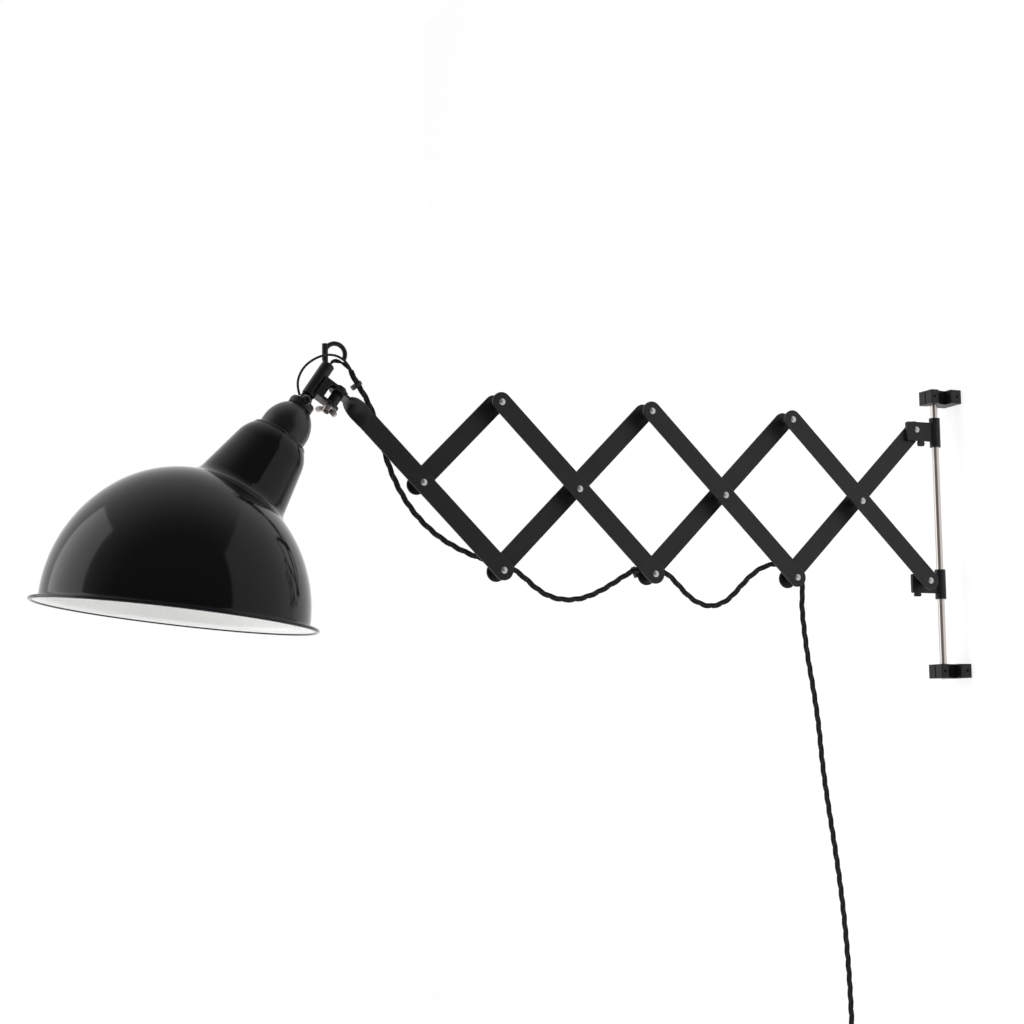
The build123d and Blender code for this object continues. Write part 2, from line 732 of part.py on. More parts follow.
def rim_ring():
    """The wall curling out from the bowl's foot to the rolled bead."""
    inner, turn = dome_radius - shade_wall, dome_radius + rim_flare_radius
    slant = sqrt(0.5)
    outer_mid = (turn - rim_flare_radius * slant, 0, bowl_foot - rim_flare_radius * slant)
    inner_mid = (turn - bowl_foot * slant, 0, bowl_foot - bowl_foot * slant)
    flare = turned([
        Line((inner, 0, bowl_foot), (dome_radius, 0, bowl_foot)),
        ThreePointArc((dome_radius, 0, bowl_foot), outer_mid, (turn, 0, shade_wall)),
        Line((turn, 0, shade_wall), (bead_centre, 0, shade_wall)),
        Line((bead_centre, 0, shade_wall), (bead_centre, 0, 0)),
        Line((bead_centre, 0, 0), (turn, 0, 0)),
        ThreePointArc((turn, 0, 0), inner_mid, (inner, 0, bowl_foot)),
    ])
    bead = revolve(Plane.XZ * Pos(bead_centre, shade_wall / 2) * Circle(rim_bead / 2), Axis.Z)
    return flare + bead


def shade_form(inset):
    """Neck and bowl as one solid with a soft junction, inset by a wall."""
    form = head.location * neck_solid(inset) + rim.location * dome_solid(inset)
    return fillet(form.edges().filter_by(GeomType.BSPLINE), junction_fillet)


def shade():
    """The enamelled shade: domed bowl, angled neck, flared and rolled rim."""
    body = shade_form(0) - shade_form(shade_wall)
    body -= head.location * along_z(neck_hole_radius, -neck_top_drop - 3, -neck_top_drop + 1)
    return solid_of(body + rim.location * rim_ring())


# ---------------------------------------------------------------- cord
cord_start = (-749.7, -16.0, 143.0)
cord_route = [
    cord_start,
    (-743.5, -14.3, 133.5),
    (-736.5, -12.0, 124.5),
    (-728.5, -9.2, 113.0),
    (-721.0, -7.2, 98.5),
    (-715.5, cord_y, 81.5),
    (-710.0, cord_y, 62.0),
    (-702.5, cord_y, 41.0),
    (-692.5, cord_y, 21.5),
    (-681.0, cord_y, 4.5),
    (-665.5, cord_y, -11.5),
    (-649.0, cord_y, -24.0),
    (-631.5, cord_y, -33.5),
    (-613.0, cord_y, -41.0),
    (-597.0, cord_y, -45.5),
    (-583.5, cord_y, -48.2),
    (-568.5, cord_y, -53.5),
    (-556.0, cord_y, -62.0),
    (-544.5, cord_y, -72.0),
    (-530.0, cord_y, -81.0),
    (-511.5, cord_y, -85.5),
    (-490.5, cord_y, -84.0),
    (-470.0, cord_y, -76.5),
    (-451.0, cord_y, -66.0),
    (-434.0, cord_y, -55.5),
    (-420.5, cord_y, -49.5),
    (-406.5, cord_y, -48.0),
    (-391.0, cord_y, -52.0),
    (-379.0, cord_y, -61.0),
    (-368.0, cord_y, -72.5),
    (-354.5, cord_y, -84.0),
    (-334.5, cord_y, -90.5),
    (-314.5, cord_y, -84.0),
    (-300.5, cord_y, -71.5),
    (-286.5, cord_y, -57.5),
    (-271.0, cord_y, -46.5),
    (-257.0, cord_y, -41.5),
    (-242.0, cord_y, -41.0),
    (-229.5, cord_y, -45.2),
    (-220.6, cord_y, -53.8),
    (-216.2, cord_y, -65.8),
    (-218.7, cord_y, -84.0),
    (-217.0, cord_y, -108.0),
    (-213.0, cord_y, -143.0),
    (-206.5, cord_y, -180.0),
    (-201.0, cord_y, -220.0),
    (-198.0, cord_y, -262.0),
    (-192.5, cord_y, -304.0),
    (-185.5, cord_y, -350.0),
    (-179.0, cord_y, -398.0),
    (-174.5, cord_y, -446.0),
    (-171.5, cord_y, -496.0),
    (-170.3, cord_y, -546.0),
    (-170.3, cord_y, -590.0),
]
cord_way = (Vector(cord_route[1]) - Vector(cord_start)).normalized()
stem_mouth = tilt_point + stem_dir * stem_top + reach_dir * lead_exit_x


def from_cord(offset):
    """The first two points of a lead that leaves the cord's end face."""
    across = Vector(0, 1, 0) - cord_way * cord_way.Y
    start = Vector(cord_start) + across.normalized() * offset
    return [start, start - cord_way * 6]


side_by_side = (supply_diameter + lead_diameter) / 2 + soft_gap
supply_route = from_cord(0.3 * side_by_side) + [
    (-758.4, -12.1, 152.2),
    (-764.4, -11.9, 153.6),
    (-769.0, -13.4, 151.6),
    (stem_mouth.X, head_y + lead_exit_y, stem_mouth.Z),
]
earth_route = from_cord(-0.7 * side_by_side) + [
    (-758.8, -22.0, 153.0),
    (-767.5, -23.0, 156.8),
    (-778.0, -23.4, 156.8),
    (-789.5, -23.6, 152.4),
    (-800.5, -23.7, 144.0),
    (-807.0, -23.8, 133.0),
    (-808.6, -23.9, 122.0),
    (-806.0, -24.0, 113.5),
]


def corners_of(points):
    """Each corner's tangent arc, as large as its two runs allow."""
    found = []
    for before, here, after in zip(points, points[1:], points[2:]):
        before, here, after = Vector(before), Vector(here), Vector(after)
        to_start, to_end = before - here, after - here
        reach = 0.45 * min(to_start.length, to_end.length)
        way_in, way_out = to_start.normalized(), to_end.normalized()
        half_turn = radians(180 - way_in.get_angle(way_out)) / 2
        radius = reach / tan(half_turn)
        inward = (way_in + way_out).normalized()
        middle_point = here + inward * (radius / cos(half_turn) - radius)
        found.append((here + way_in * reach, middle_point, here + way_out * reach, radius))
    return found


def tube(name, points, diameter, first=0, last=None):
    """A round tube along part of a route, cut at the middle of its end runs."""
    corners = corners_of(points)
    last = len(points) - 1 if last is None else last
    points = [Vector(p) for p in points]
    here = points[0] if first == 0 else (points[first] + points[first + 1]) / 2
    finish = points[-1] if last == len(points) - 1 else (points[last] + points[last + 1]) / 2
    edges, radii = [], []
    for start, through, end, radius in corners[first:last - 1 if last == len(points) - 1 else last]:
        edges += [Line(here, start), ThreePointArc(start, through, end)]
        here = end
        radii.append(radius)
    edges.append(Line(here, finish))
    return swept(name, edges, diameter, min(radii))


def swept(name, edges, diameter, least_radius):
    """Sweep a round section along joined edges and print what it measures."""
    path = Wire(edges)
    body = sweep(Plane(origin=path @ 0, z_dir=path % 0) * Circle(diameter / 2), path=path)
    share = body.volume / (pi * diameter**2 / 4 * path.length)
    print(f"{name}: length {path.length:.0f}, least radius {least_radius:.1f} "
          f"({least_radius / diameter:.1f} diameters), volume share {share:.4f}")
    return solid_of(body)


def biarc(start, way, end, way_end):
    """Two tangent arcs from one point and direction to another."""
    gap = end - start
    total = way + way_end
    a = 2 * (1 - way.dot(way_end))
    b = 2 * gap.dot(total)
    reach = (-b + sqrt(b * b + 4 * a * gap.dot(gap))) / (2 * a)
    joint = (start + way * reach + end - way_end * reach) / 2
    first = TangentArc(start, joint, tangent=way)
    return [first, TangentArc(joint, end, tangent=first % 1)]


coil_start = Vector(cord_route[-1])
coil_centre = coil_start - Vector(coil_radius, 0, 0)


def on_coil(turns):
    """The place and direction on the coil after this many turns."""
    angle = 2 * pi * turns
    place = coil_centre + Vector(
        coil_radius * cos(angle), coil_pitch * turns, -coil_radius * sin(angle)
    )
    way = Vector(-sin(angle) * coil_radius, coil_pitch / (2 * pi), -cos(angle) * coil_radius)
    return place, way.normalized()


def cord_coil():
    """The put-away coil: one unbroken tube of round turns side by side."""
    edges = []
    halves = 2 * coil_turns
    for i in range(halves):
        start, way = on_coil(i / 2)
        end, way_end = on_coil((i + 1) / 2)
        if i == 0:
            way = Vector(0, 0, -1)
        if i == halves - 1:
            way_end = Vector(0, 0, -1)
        if edges:
            way = edges[-1] % 1
        edges += biarc(start, way, end, way_end)
    edges.append(Line(edges[-1] @ 1, on_coil(coil_turns)[0] - Vector(0, 0, tail_length)))
    samples = 48
    points = [on_coil(i / samples)[0] for i in range(coil_turns * samples + 1)]
    apart = [
        (points[i] - points[j]).length
        for i in range(0, len(points), 4)
        for j in range(i + samples // 2, len(points))
    ]
    print(f"coil: least gap to itself {min(apart) - cord_diameter:.2f}")
    return swept("cord_coil", edges, cord_diameter, coil_radius)


def coil_tie():
    """The strap around all the turns at the top of the coil."""
    half = cord_diameter / 2 + soft_gap
    y0 = coil_start.Y - half
    y1 = coil_start.Y + coil_pitch * coil_turns + half
    z = coil_centre.Z + coil_radius
    wide = coil_tie_width / 2
    edge = coil_tie_thickness
    sag = 1.0
    body = block(coil_centre.X - wide, coil_centre.X + wide, y0 - edge, y1 + edge, z - half - edge - sag, z + half + edge)
    body -= block(coil_centre.X - coil_radius, coil_centre.X + coil_radius, y0, y1, z - half - sag, z + half)
    return solid_of(fillet(body.edges().filter_by(Axis.X), 0.4))


def plug():
    """The mains plug with its tapered neck, and its two pins."""
    start = on_coil(coil_turns)[0] + Vector(0, 0, -tail_length)
    place = Plane(origin=start, x_dir=(0, 1, 0), z_dir=(0, 0, -1))
    radius, neck = plug_diameter / 2, plug_neck_diameter / 2
    shoulder = plug_neck_length + 7
    face_z = plug_neck_length + plug_length
    body = turned([
        Line((0, 0, 0), (neck - 1, 0, 0)),
        Line((neck - 1, 0, 0), (neck + 1, 0, plug_neck_length - 5)),
        ThreePointArc(
            (neck + 1, 0, plug_neck_length - 5),
            (0.72 * radius, 0, plug_neck_length + 0.5),
            (radius, 0, shoulder),
        ),
        Line((radius, 0, shoulder), (radius - 1.5, 0, face_z)),
        Line((radius - 1.5, 0, face_z), (0, 0, face_z)),
        Line((0, 0, face_z), (0, 0, 0)),
    ])
    pins = []
    for side in (1, -1):
        pin = along_z(plug_pin_diameter / 2, face_z, face_z + plug_pin_length, side * plug_pin_spacing / 2)
        pins.append(place.location * fillet(pin.edges().group_by(Axis.Z)[-1], 1.5))
    return place.location * body, pins


def tie(index, share, turn):
    """A cable tie: a band around the cord and its small square lock."""
    before, after = Vector(cord_route[index]), Vector(cord_route[index + 1])
    way = (after - before).normalized()
    outward = Vector(0, 1, 0).cross(way).normalized()
    outward = outward * cos(radians(turn)) + Vector(0, 1, 0) * sin(radians(turn))
    place = Plane(origin=before + (after - before) * share, x_dir=outward, z_dir=way)
    inner = cord_diameter / 2 + 0.1
    band = along_z(inner + tie_band, -tie_width / 2, tie_width / 2)
    lock = block(inner, inner + tie_head, -tie_head / 2, tie_head / 2, -tie_head / 2, tie_head / 2)
    band = band + lock - along_z(inner, -tie_head, tie_head)
    return place.location * solid_of(band)


def main():
    os.makedirs("parts", exist_ok=True)
    half_span = bracket_spacing / 2

    # Wall side
    rod_low = -half_span - bracket_height / 2 - rod_overhang
    rod_body = along_z(rod_diameter / 2, rod_low, half_span + bracket_height / 2, rod_x)
    write("rod", chamfer(rod_body.edges().group_by(Axis.Z)[0], 0.5))
    write("upper_wall_bracket", bracket(half_span))
    write("lower_wall_bracket", bracket(-half_span))
    write("clamp_screws", clamp_screw(half_span), clamp_screw(-half_span))
    write("flange_set_screws", set_screw(half_span), set_screw(-half_span))

    # Sliders
    write("upper_liner", liner(upper_z))
    write("lower_liner", liner(lower_z))
    write("upper_slider", slider(upper_z, upper_lock_offset))
    write("lower_slider", slider(lower_z, lower_lock_offset))
    write("upper_lock_screw", lock_screw(upper_z, upper_lock_offset, upper_lock_height))
    write("lower_lock_screw", lock_screw(lower_z, lower_lock_offset, lower_lock_height))
    write("upper_slider_rivet", rivet(pivot_x, upper_z, lug_front_y, back_rear_y))
    washer = along_y(pivot_x, upper_z, lug_thickness / 2, back_front_y, spacer_diameter / 2)
    washer -= along_y(pivot_x, upper_z, 0, back_front_y, hole_radius)
    write("upper_slider_washer", washer)

    # Scissor arm: front bars slope down towards the wall, back bars slope up
    for n in range(1, crossings + 1):
        rivets = [rivet(*middle(n), front_front_y, back_rear_y)]
        spacers = [spacer(*middle(n), front_rear_y, back_front_y)]
        if n > 1:
            ends = [top(n - 1), middle(n), bottom(n)]
            write(f"front_bar_{n}", bar(ends[0], ends[2], front_front_y, ends))
            rivets.append(rivet(*top(n - 1), front_front_y, back_rear_y))
            spacers.append(spacer(*top(n - 1), front_rear_y, back_front_y))
            ends = [bottom(n - 1), middle(n), top(n)]
            write(f"back_bar_{n}", bar(ends[0], ends[2], back_front_y, ends))
        if n < crossings:
            rivets.append(rivet(*bottom(n), front_front_y, back_rear_y))
            spacers.append(spacer(*bottom(n), front_rear_y, back_front_y))
        else:
            rivets.append(rivet(*bottom(n), front_front_y, lug_thickness / 2))
            spacers.append(spacer(*bottom(n), front_rear_y, lug_front_y))
        write(f"rivets_{n}", *rivets)
        write(f"spacers_{n}", *spacers)
    write("back_bar_1", bar(middle(1), top(1), back_front_y, [middle(1), top(1)]))
    write("front_bar_1", lamp_bar())

    # Swivel, stem and tilt joint
    write("clevis", clevis())
    write("swivel_bolt", swivel_bolt())
    write("swivel_bush", swivel_bush())
    write("wing_nut", wing_nut())
    write("stem", stem())
    write("stem_screw", stem_screw())
    write("hook", hook())
    write("tilt_screw", *tilt_screw())
    write("earth_terminal", earth_terminal())

    # Socket and shade
    write("hinge_cap", hinge_cap())
    write("nipple", nipple())
    write("socket_cover", socket_cover())
    write("lampholder", lampholder())
    write("screw_shell", screw_shell())
    write("centre_contact", centre_contact())
    write("shade_ring", shade_ring())
    write("shade", shade())

    # Cord
    stretches = {
        "cord_head": (0, 4),
        "cord_arm": (4, 15),
        "cord_loop_1": (15, 26),
        "cord_loop_2": (26, 37),
        "cord_drop": (37, len(cord_route) - 1),
    }
    for name, (first, last) in stretches.items():
        write(name, tube(name, cord_route, cord_diameter, first, last))
    write("supply_lead", tube("supply_lead", supply_route, supply_diameter))
    write("earth_lead", tube("earth_lead", earth_route, lead_diameter))
    write("cord_coil", cord_coil())
    write("coil_tie", coil_tie())
    plug_body, pins = plug()
    write("plug", plug_body)
    write("plug_pins", *pins)
    write("cord_tie_head", tie(1, 0.35, 0))
    write("cord_tie_arm", tie(24, 0.55, 0))
    print("bottom of view at the cord about z -545; coil centre", coil_centre)


main()
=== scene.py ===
import math

import bmesh
import bpy
from mathutils import Matrix, Vector


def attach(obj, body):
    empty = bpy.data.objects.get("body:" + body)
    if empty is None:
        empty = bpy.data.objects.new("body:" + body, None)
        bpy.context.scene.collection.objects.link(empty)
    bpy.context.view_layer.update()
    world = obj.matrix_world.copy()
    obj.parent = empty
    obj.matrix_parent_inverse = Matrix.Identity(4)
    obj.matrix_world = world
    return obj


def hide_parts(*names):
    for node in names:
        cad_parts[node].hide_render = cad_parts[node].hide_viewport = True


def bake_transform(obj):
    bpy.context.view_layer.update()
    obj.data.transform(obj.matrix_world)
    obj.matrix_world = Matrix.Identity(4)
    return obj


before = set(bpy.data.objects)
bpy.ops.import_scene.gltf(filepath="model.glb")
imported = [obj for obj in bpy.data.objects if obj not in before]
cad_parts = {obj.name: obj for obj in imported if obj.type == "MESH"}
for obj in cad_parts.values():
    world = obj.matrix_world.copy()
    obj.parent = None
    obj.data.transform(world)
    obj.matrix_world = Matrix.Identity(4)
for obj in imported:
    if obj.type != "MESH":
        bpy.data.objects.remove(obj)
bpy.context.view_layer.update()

bl_info = {
    "name": "Accordion wall lamp",
    "version": (1, 0, 0),
    "blender": (4, 5, 0),
    "location": "3D Viewport > Sidebar > Wall lamp",
    "description": "Finishes, twisted cords and stage of an accordion wall lamp",
    "category": "Object",
}


def linear(hex_colour):
    """An sRGB hex colour as linear red, green and blue."""
    parts = [int(hex_colour[i:i + 2], 16) / 255 for i in (1, 3, 5)]
    return [c / 12.92 if c <= 0.04045 else ((c + 0.055) / 1.055) ** 2.4 for c in parts]


def colour_prop(name, description, hex_colour):
    """A colour that a user may change."""
    return bpy.props.FloatVectorProperty(
        name=name, description=description, subtype="COLOR", size=3,
        min=0.0, max=1.0, default=linear(hex_colour),
    )


def length_prop(name, description, metres):
    """A length that a user may change."""
    return bpy.props.FloatProperty(
        name=name, description=description, unit="LENGTH", precision=5, default=metres,
    )


class LampFinishes(bpy.types.PropertyGroup):
    """Colours of the lamp's finishes."""
    enamel_outside: colour_prop(
        "Enamel outside", "Glass enamel on the outside of the shade", "#0b0b0d",
    )
    enamel_inside: colour_prop(
        "Enamel inside", "Glass enamel on the inside of the shade", "#fafaf8",
    )
    bar_lacquer: colour_prop("Bar lacquer", "Satin lacquer on the lattice bars", "#151516")
    head_lacquer: colour_prop(
        "Head lacquer", "Lacquer on the stem, hook and joints of the head", "#0f0f10",
    )
    bracket_lacquer: colour_prop(
        "Bracket lacquer", "Lacquer on the wall brackets and sliders", "#101011",
    )
    rod_nickel: colour_prop("Rod nickel", "Ground nickel plating on the wall rod", "#cdc5c0")
    rivet_zinc: colour_prop("Rivet zinc", "Zinc plating on the rivets", "#c2c2c0")
    braid_yarn: colour_prop("Braid yarn", "Yarn of the cord's braid", "#141416")
    # The braid's gap colour is painted shade between the yarns.
    braid_gap_shade: colour_prop("Braid gap", "Shade between the yarns", "#050505")
    plug_body: colour_prop("Plug body", "Moulded plug and ties", "#18181a")


class LampCord(bpy.types.PropertyGroup):
    """Sizes of the twisted textile cord."""
    core_diameter: length_prop("Core diameter", "One braided core", 0.00295)
    core_circle: length_prop("Core circle", "From the cord's line to a core's middle", 0.00172)
    lay_length: length_prop("Lay length", "Cord length of one full turn of the cores", 0.046)
    pair_core: length_prop("Pair core diameter", "One core of the short lead at the head", 0.0022)
    pair_circle: length_prop("Pair circle", "From that lead's line to a core's middle", 0.00105)
    earth_core: length_prop("Earth core diameter", "The single thin lead to the tilt joint", 0.0025)
    station: length_prop("Station spacing", "Spacing of the rings along a cord", 0.0024)
    yarns: bpy.props.IntProperty(
        name="Yarns", description="Yarns laid each way round a core", default=8, min=3, max=24,
    )


class LampStage(bpy.types.PropertyGroup):
    """Light and background."""
    sky: bpy.props.FloatProperty(
        name="Sky", description="Even light from all round", default=0.62, min=0.0,
    )
    side_box: bpy.props.FloatProperty(
        name="Side box", description="Light box beside the shade", default=11.0, unit="POWER",
    )
    side_sheen: bpy.props.FloatProperty(
        name="Side sheen", description="How bright the side box is in gloss", default=2.4, min=0.0,
    )
    top_box: bpy.props.FloatProperty(
        name="Top box", description="Light box above", default=9.0, unit="POWER",
    )
    front_box: bpy.props.FloatProperty(
        name="Front box", description="Light box in front", default=5.0, unit="POWER",
    )
    floor_level: length_prop(
        "Floor level", "Height of the floor below the middle of the mount", -0.95,
    )


def add_node(tree, kind, settings=None, links=None):
    """Adds a node, sets its properties and sockets, and feeds its inputs from other sockets."""
    node = tree.nodes.new(kind)
    for key, value in (settings or {}).items():
        if isinstance(key, str) and hasattr(node, key):
            setattr(node, key, value)
        else:
            node.inputs[key].default_value = value
    for key, source in (links or {}).items():
        tree.links.new(source, node.inputs[key])
    return node


def new_material(name):
    """An empty material with its output node."""
    material = bpy.data.materials.new(name)
    material.use_nodes = True
    material.node_tree.nodes.clear()
    return material, material.node_tree, material.node_tree.nodes.new("ShaderNodeOutputMaterial")


# Most of a noise field lies between noise_low and noise_high.
noise_low, noise_high, noise_roughness = 0.3, 0.7, 0.55


def shaded(colour, share):
    """A colour at a share of its strength, up to white."""
    return [min(c * share, 1) for c in colour]


def grained(name, settings, colour, tones, rough, bump, fields):
    """A material whose colour, roughness and relief follow three noise fields of real sizes.

    tones are two shares of the colour, rough is two roughnesses, and bump is a depth in
    millimetres and its strength. A field is its grain in millimetres, its detail and its
    scale along Z.
    """
    material, tree, output = new_material(name)
    place = add_node(tree, "ShaderNodeTexCoord")
    grains = {}
    for field in dict.fromkeys(fields):
        grain_mm, detail, along = field
        scaled = add_node(
            tree, "ShaderNodeMapping", {"vector_type": "POINT", "Scale": (1.0, 1.0, along)},
            {"Vector": place.outputs["Object"]},
        )
        grains[field] = add_node(
            tree, "ShaderNodeTexNoise",
            {"Scale": 1000 / grain_mm, "Detail": detail, "Roughness": noise_roughness},
            {"Vector": scaled.outputs["Vector"]},
        ).outputs["Fac"]
    tone, sheen, height = (grains[field] for field in fields)
    dark, light = ((*shaded(colour, share), 1) for share in tones)
    mixed = add_node(
        tree, "ShaderNodeMix", {"data_type": "RGBA", 6: dark, 7: light}, {0: tone},
    )
    roughness = add_node(
        tree, "ShaderNodeMapRange",
        {"From Min": noise_low, "From Max": noise_high, "To Min": rough[0], "To Max": rough[1]},
        {"Value": sheen},
    )
    relief = add_node(
        tree, "ShaderNodeBump", {"Distance": bump[0] / 1000, "Strength": bump[1]},
        {"Height": height},
    )
    surface = add_node(
        tree, "ShaderNodeBsdfPrincipled", settings,
        {
            "Base Color": mixed.outputs[2], "Roughness": roughness.outputs["Result"],
            "Normal": relief.outputs["Normal"],
        },
    )
    tree.links.new(surface.outputs["BSDF"], output.inputs["Surface"])
    return material


def vitreous_enamel(name, colour, level):
    """Glass fused on steel and glossy; it flowed as it melted, which leaves a soft long wave."""
    speck, wave = (1.6, 2.0, 1.0), (26, 1.0, 1.0)
    return grained(
        name, {"IOR": 1.5, "Specular IOR Level": level}, colour, (0.94, 1.05), (0.08, 0.12),
        (0.06, 0.3), (speck, wave, wave),
    )


def satin_lacquer(name, colour, rough, grain_mm=0.9):
    """Sprayed and baked lacquer: a satin film with fine orange peel and a little handling wear."""
    wear, peel = (38, 3.0, 1.0), (grain_mm, 2.0, 1.0)
    return grained(
        name, {"IOR": 1.48, "Specular IOR Level": 0.36}, colour, (0.82, 1.22),
        (rough - 0.05, rough + 0.06), (0.02, 0.5), (wear, wear, peel),
    )


def ground_nickel(name, colour):
    """Nickel on drawn steel, ground along its length: lines along the rod, drawn coarse to show."""
    lines, cloud = (1.1, 2.0, 0.006), (60, 1.0, 1.0)
    return grained(
        name, {"Metallic": 1.0}, colour, (0.93, 1.03), (0.27, 0.32), (0.004, 0.25),
        (lines, cloud, lines),
    )


def bright_plate(name, colour, rough, grain_mm=1.2):
    """Plated steel that was pressed or turned: bright, slightly clouded metal with fine marks."""
    marks = (grain_mm, 3.0, 1.0)
    return grained(
        name, {"Metallic": 1.0}, colour, (0.84, 1.05), (rough - 0.05, rough + 0.08),
        (0.015, 0.45), (marks, marks, marks),
    )


def moulded_plastic(name, colour, rough, ior=1.5):
    """Moulded plastic from a spark-eroded mould: an even fine grain."""
    cloud, grain = (12, 2.0, 1.0), (0.7, 2.0, 1.0)
    return grained(
        name, {"IOR": ior}, colour, (0.88, 1.14), (rough - 0.05, rough + 0.05), (0.02, 0.6),
        (cloud, grain, grain),
    )


def waves(tree, source):
    """How far along its wave a count of yarns is, from 0 between two yarns to 1 on one."""
    scaled = add_node(tree, "ShaderNodeMath", {"operation": "MULTIPLY", 1: math.pi}, {0: source})
    bent = add_node(tree, "ShaderNodeMath", {"operation": "SINE"}, {0: scaled.outputs[0]})
    size = add_node(tree, "ShaderNodeMath", {"operation": "ABSOLUTE"}, {0: bent.outputs[0]})
    return size.outputs[0]


def textile_braid(name, yarn, gap, yarns, pitch_mm, fibre_mm, ridge_mm):
    """Matt rayon braid round each core: crossing ridges, stray fibres, painted shade in gaps and
    highlight on crests.
    """
    material, tree, output = new_material(name)
    lie = add_node(tree, "ShaderNodeUVMap", {"uv_map": "braid"})
    parts = add_node(tree, "ShaderNodeSeparateXYZ", {}, {0: lie.outputs["UV"]})
    along = add_node(
        tree, "ShaderNodeMath", {"operation": "MULTIPLY", 1: 1000 / pitch_mm},
        {0: parts.outputs["X"]},
    )
    round_core = add_node(
        tree, "ShaderNodeMath", {"operation": "MULTIPLY", 1: float(yarns)},
        {0: parts.outputs["Y"]},
    )
    both = {0: along.outputs[0], 1: round_core.outputs[0]}
    left = add_node(tree, "ShaderNodeMath", {"operation": "ADD"}, both)
    right = add_node(tree, "ShaderNodeMath", {"operation": "SUBTRACT"}, both)
    weave = add_node(
        tree, "ShaderNodeMath", {"operation": "MULTIPLY"},
        {0: waves(tree, left.outputs[0]), 1: waves(tree, right.outputs[0])},
    )
    place = add_node(tree, "ShaderNodeTexCoord")
    fibre = add_node(
        tree, "ShaderNodeTexNoise",
        {"Scale": 1000 / fibre_mm, "Detail": 3.0, "Roughness": noise_roughness},
        {"Vector": place.outputs["Object"]},
    )
    # The weave sets the colour: painted shade between the yarns, and a painted highlight on their
    # crests (the yarn at 1.9 times its strength), flecked by the fibres.
    painted_light_share = add_node(
        tree, "ShaderNodeMath", {"operation": "MULTIPLY"},
        {0: weave.outputs[0], 1: fibre.outputs["Fac"]},
    )
    mixed = add_node(
        tree, "ShaderNodeMix",
        {"data_type": "RGBA", 6: (*gap, 1), 7: (*shaded(yarn, 1.9), 1)}, {0: painted_light_share.outputs[0]},
    )
    relief = add_node(
        tree, "ShaderNodeBump", {"Distance": ridge_mm / 1000, "Strength": 0.8},
        {"Height": weave.outputs[0]},
    )
    surface = add_node(
        tree, "ShaderNodeBsdfPrincipled",
        {"IOR": 1.45, "Roughness": 0.9, "Sheen Weight": 0.12, "Sheen Roughness": 0.5},
        {"Base Color": mixed.outputs[2], "Normal": relief.outputs["Normal"]},
    )
    tree.links.new(surface.outputs["BSDF"], output.inputs["Surface"])
    return material


finishes = {}


def finish(key):
    """The named finish, made the first time that it is asked for."""
    colours = bpy.context.scene.lamp_finishes
    makers = {
        "enamel_outside": lambda: vitreous_enamel(
            "black vitreous enamel", colours.enamel_outside, 0.19,
        ),
        "enamel_inside": lambda: vitreous_enamel(
            "white vitreous enamel", colours.enamel_inside, 0.5,
        ),
        "bars": lambda: satin_lacquer("satin lacquered steel strip", colours.bar_lacquer, 0.42),
        "head": lambda: satin_lacquer("lacquered turned steel", colours.head_lacquer, 0.36, 0.7),
        "brackets": lambda: satin_lacquer(
            "lacquered zinc casting", colours.bracket_lacquer, 0.44, 1.1,
        ),
        "rod": lambda: ground_nickel("ground nickel rod", colours.rod_nickel),
        "wing": lambda: bright_plate(
            "nickel plated wing nut", shaded(colours.rod_nickel, 0.9), 0.3,
        ),
        "zinc": lambda: bright_plate("zinc plated rivet steel", colours.rivet_zinc, 0.36, 0.9),
        "brass": lambda: bright_plate("plain brass", linear("#b58a45"), 0.32),
        "phenolic": lambda: moulded_plastic("black phenolic", linear("#0d0c0c"), 0.34, 1.45),
        "nylon": lambda: moulded_plastic("black nylon", colours.plug_body, 0.46),
        "plug": lambda: moulded_plastic("moulded rubber plug", colours.plug_body, 0.55),
        "braid": lambda: textile_braid(
            "black textile braid", colours.braid_yarn, colours.braid_gap_shade,
            bpy.context.scene.lamp_cord.yarns, pitch_mm=2.4, fibre_mm=0.5, ridge_mm=0.22,
        ),
    }
    if key not in finishes:
        finishes[key] = makers[key]()
    return finishes[key]


def dress(key, *names):
    """Puts a finish on CAD nodes."""
    for name in names:
        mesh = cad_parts[name].data
        mesh.materials.clear()
        mesh.materials.append(finish(key))
        mesh.polygons.foreach_set("material_index", [0] * len(mesh.polygons))


def lathe(name, rings, base, axis, sides):
    """A closed turned piece: (radius, place along the axis) rings about a line from base."""
    turn = Vector(axis).to_track_quat("Z", "Y").to_matrix()
    base = Vector(base)
    angles = [2 * math.pi * i / sides for i in range(sides)]
    points = [
        base + turn @ Vector((radius * math.cos(angle), radius * math.sin(angle), place))
        for radius, place in rings
        for angle in angles
    ]
    faces = [
        (low + i, low + (i + 1) % sides, low + sides + (i + 1) % sides, low + sides + i)
        for low in range(0, (len(rings) - 1) * sides, sides)
        for i in range(sides)
    ]
    last = (len(rings) - 1) * sides
    faces.append(tuple(reversed(range(sides))))
    faces.append(tuple(range(last, last + sides)))
    return new_piece(name, points, faces)


def new_piece(name, points, faces, smooth=True):
    """A mesh object of these points and faces."""
    mesh = bpy.data.meshes.new(name)
    mesh.from_pydata([tuple(p) for p in points], [], faces)
    mesh.polygons.foreach_set("use_smooth", [smooth] * len(mesh.polygons))
    mesh.validate()
    piece = bpy.data.objects.new(name, mesh)
    bpy.context.scene.collection.objects.link(piece)
    return piece


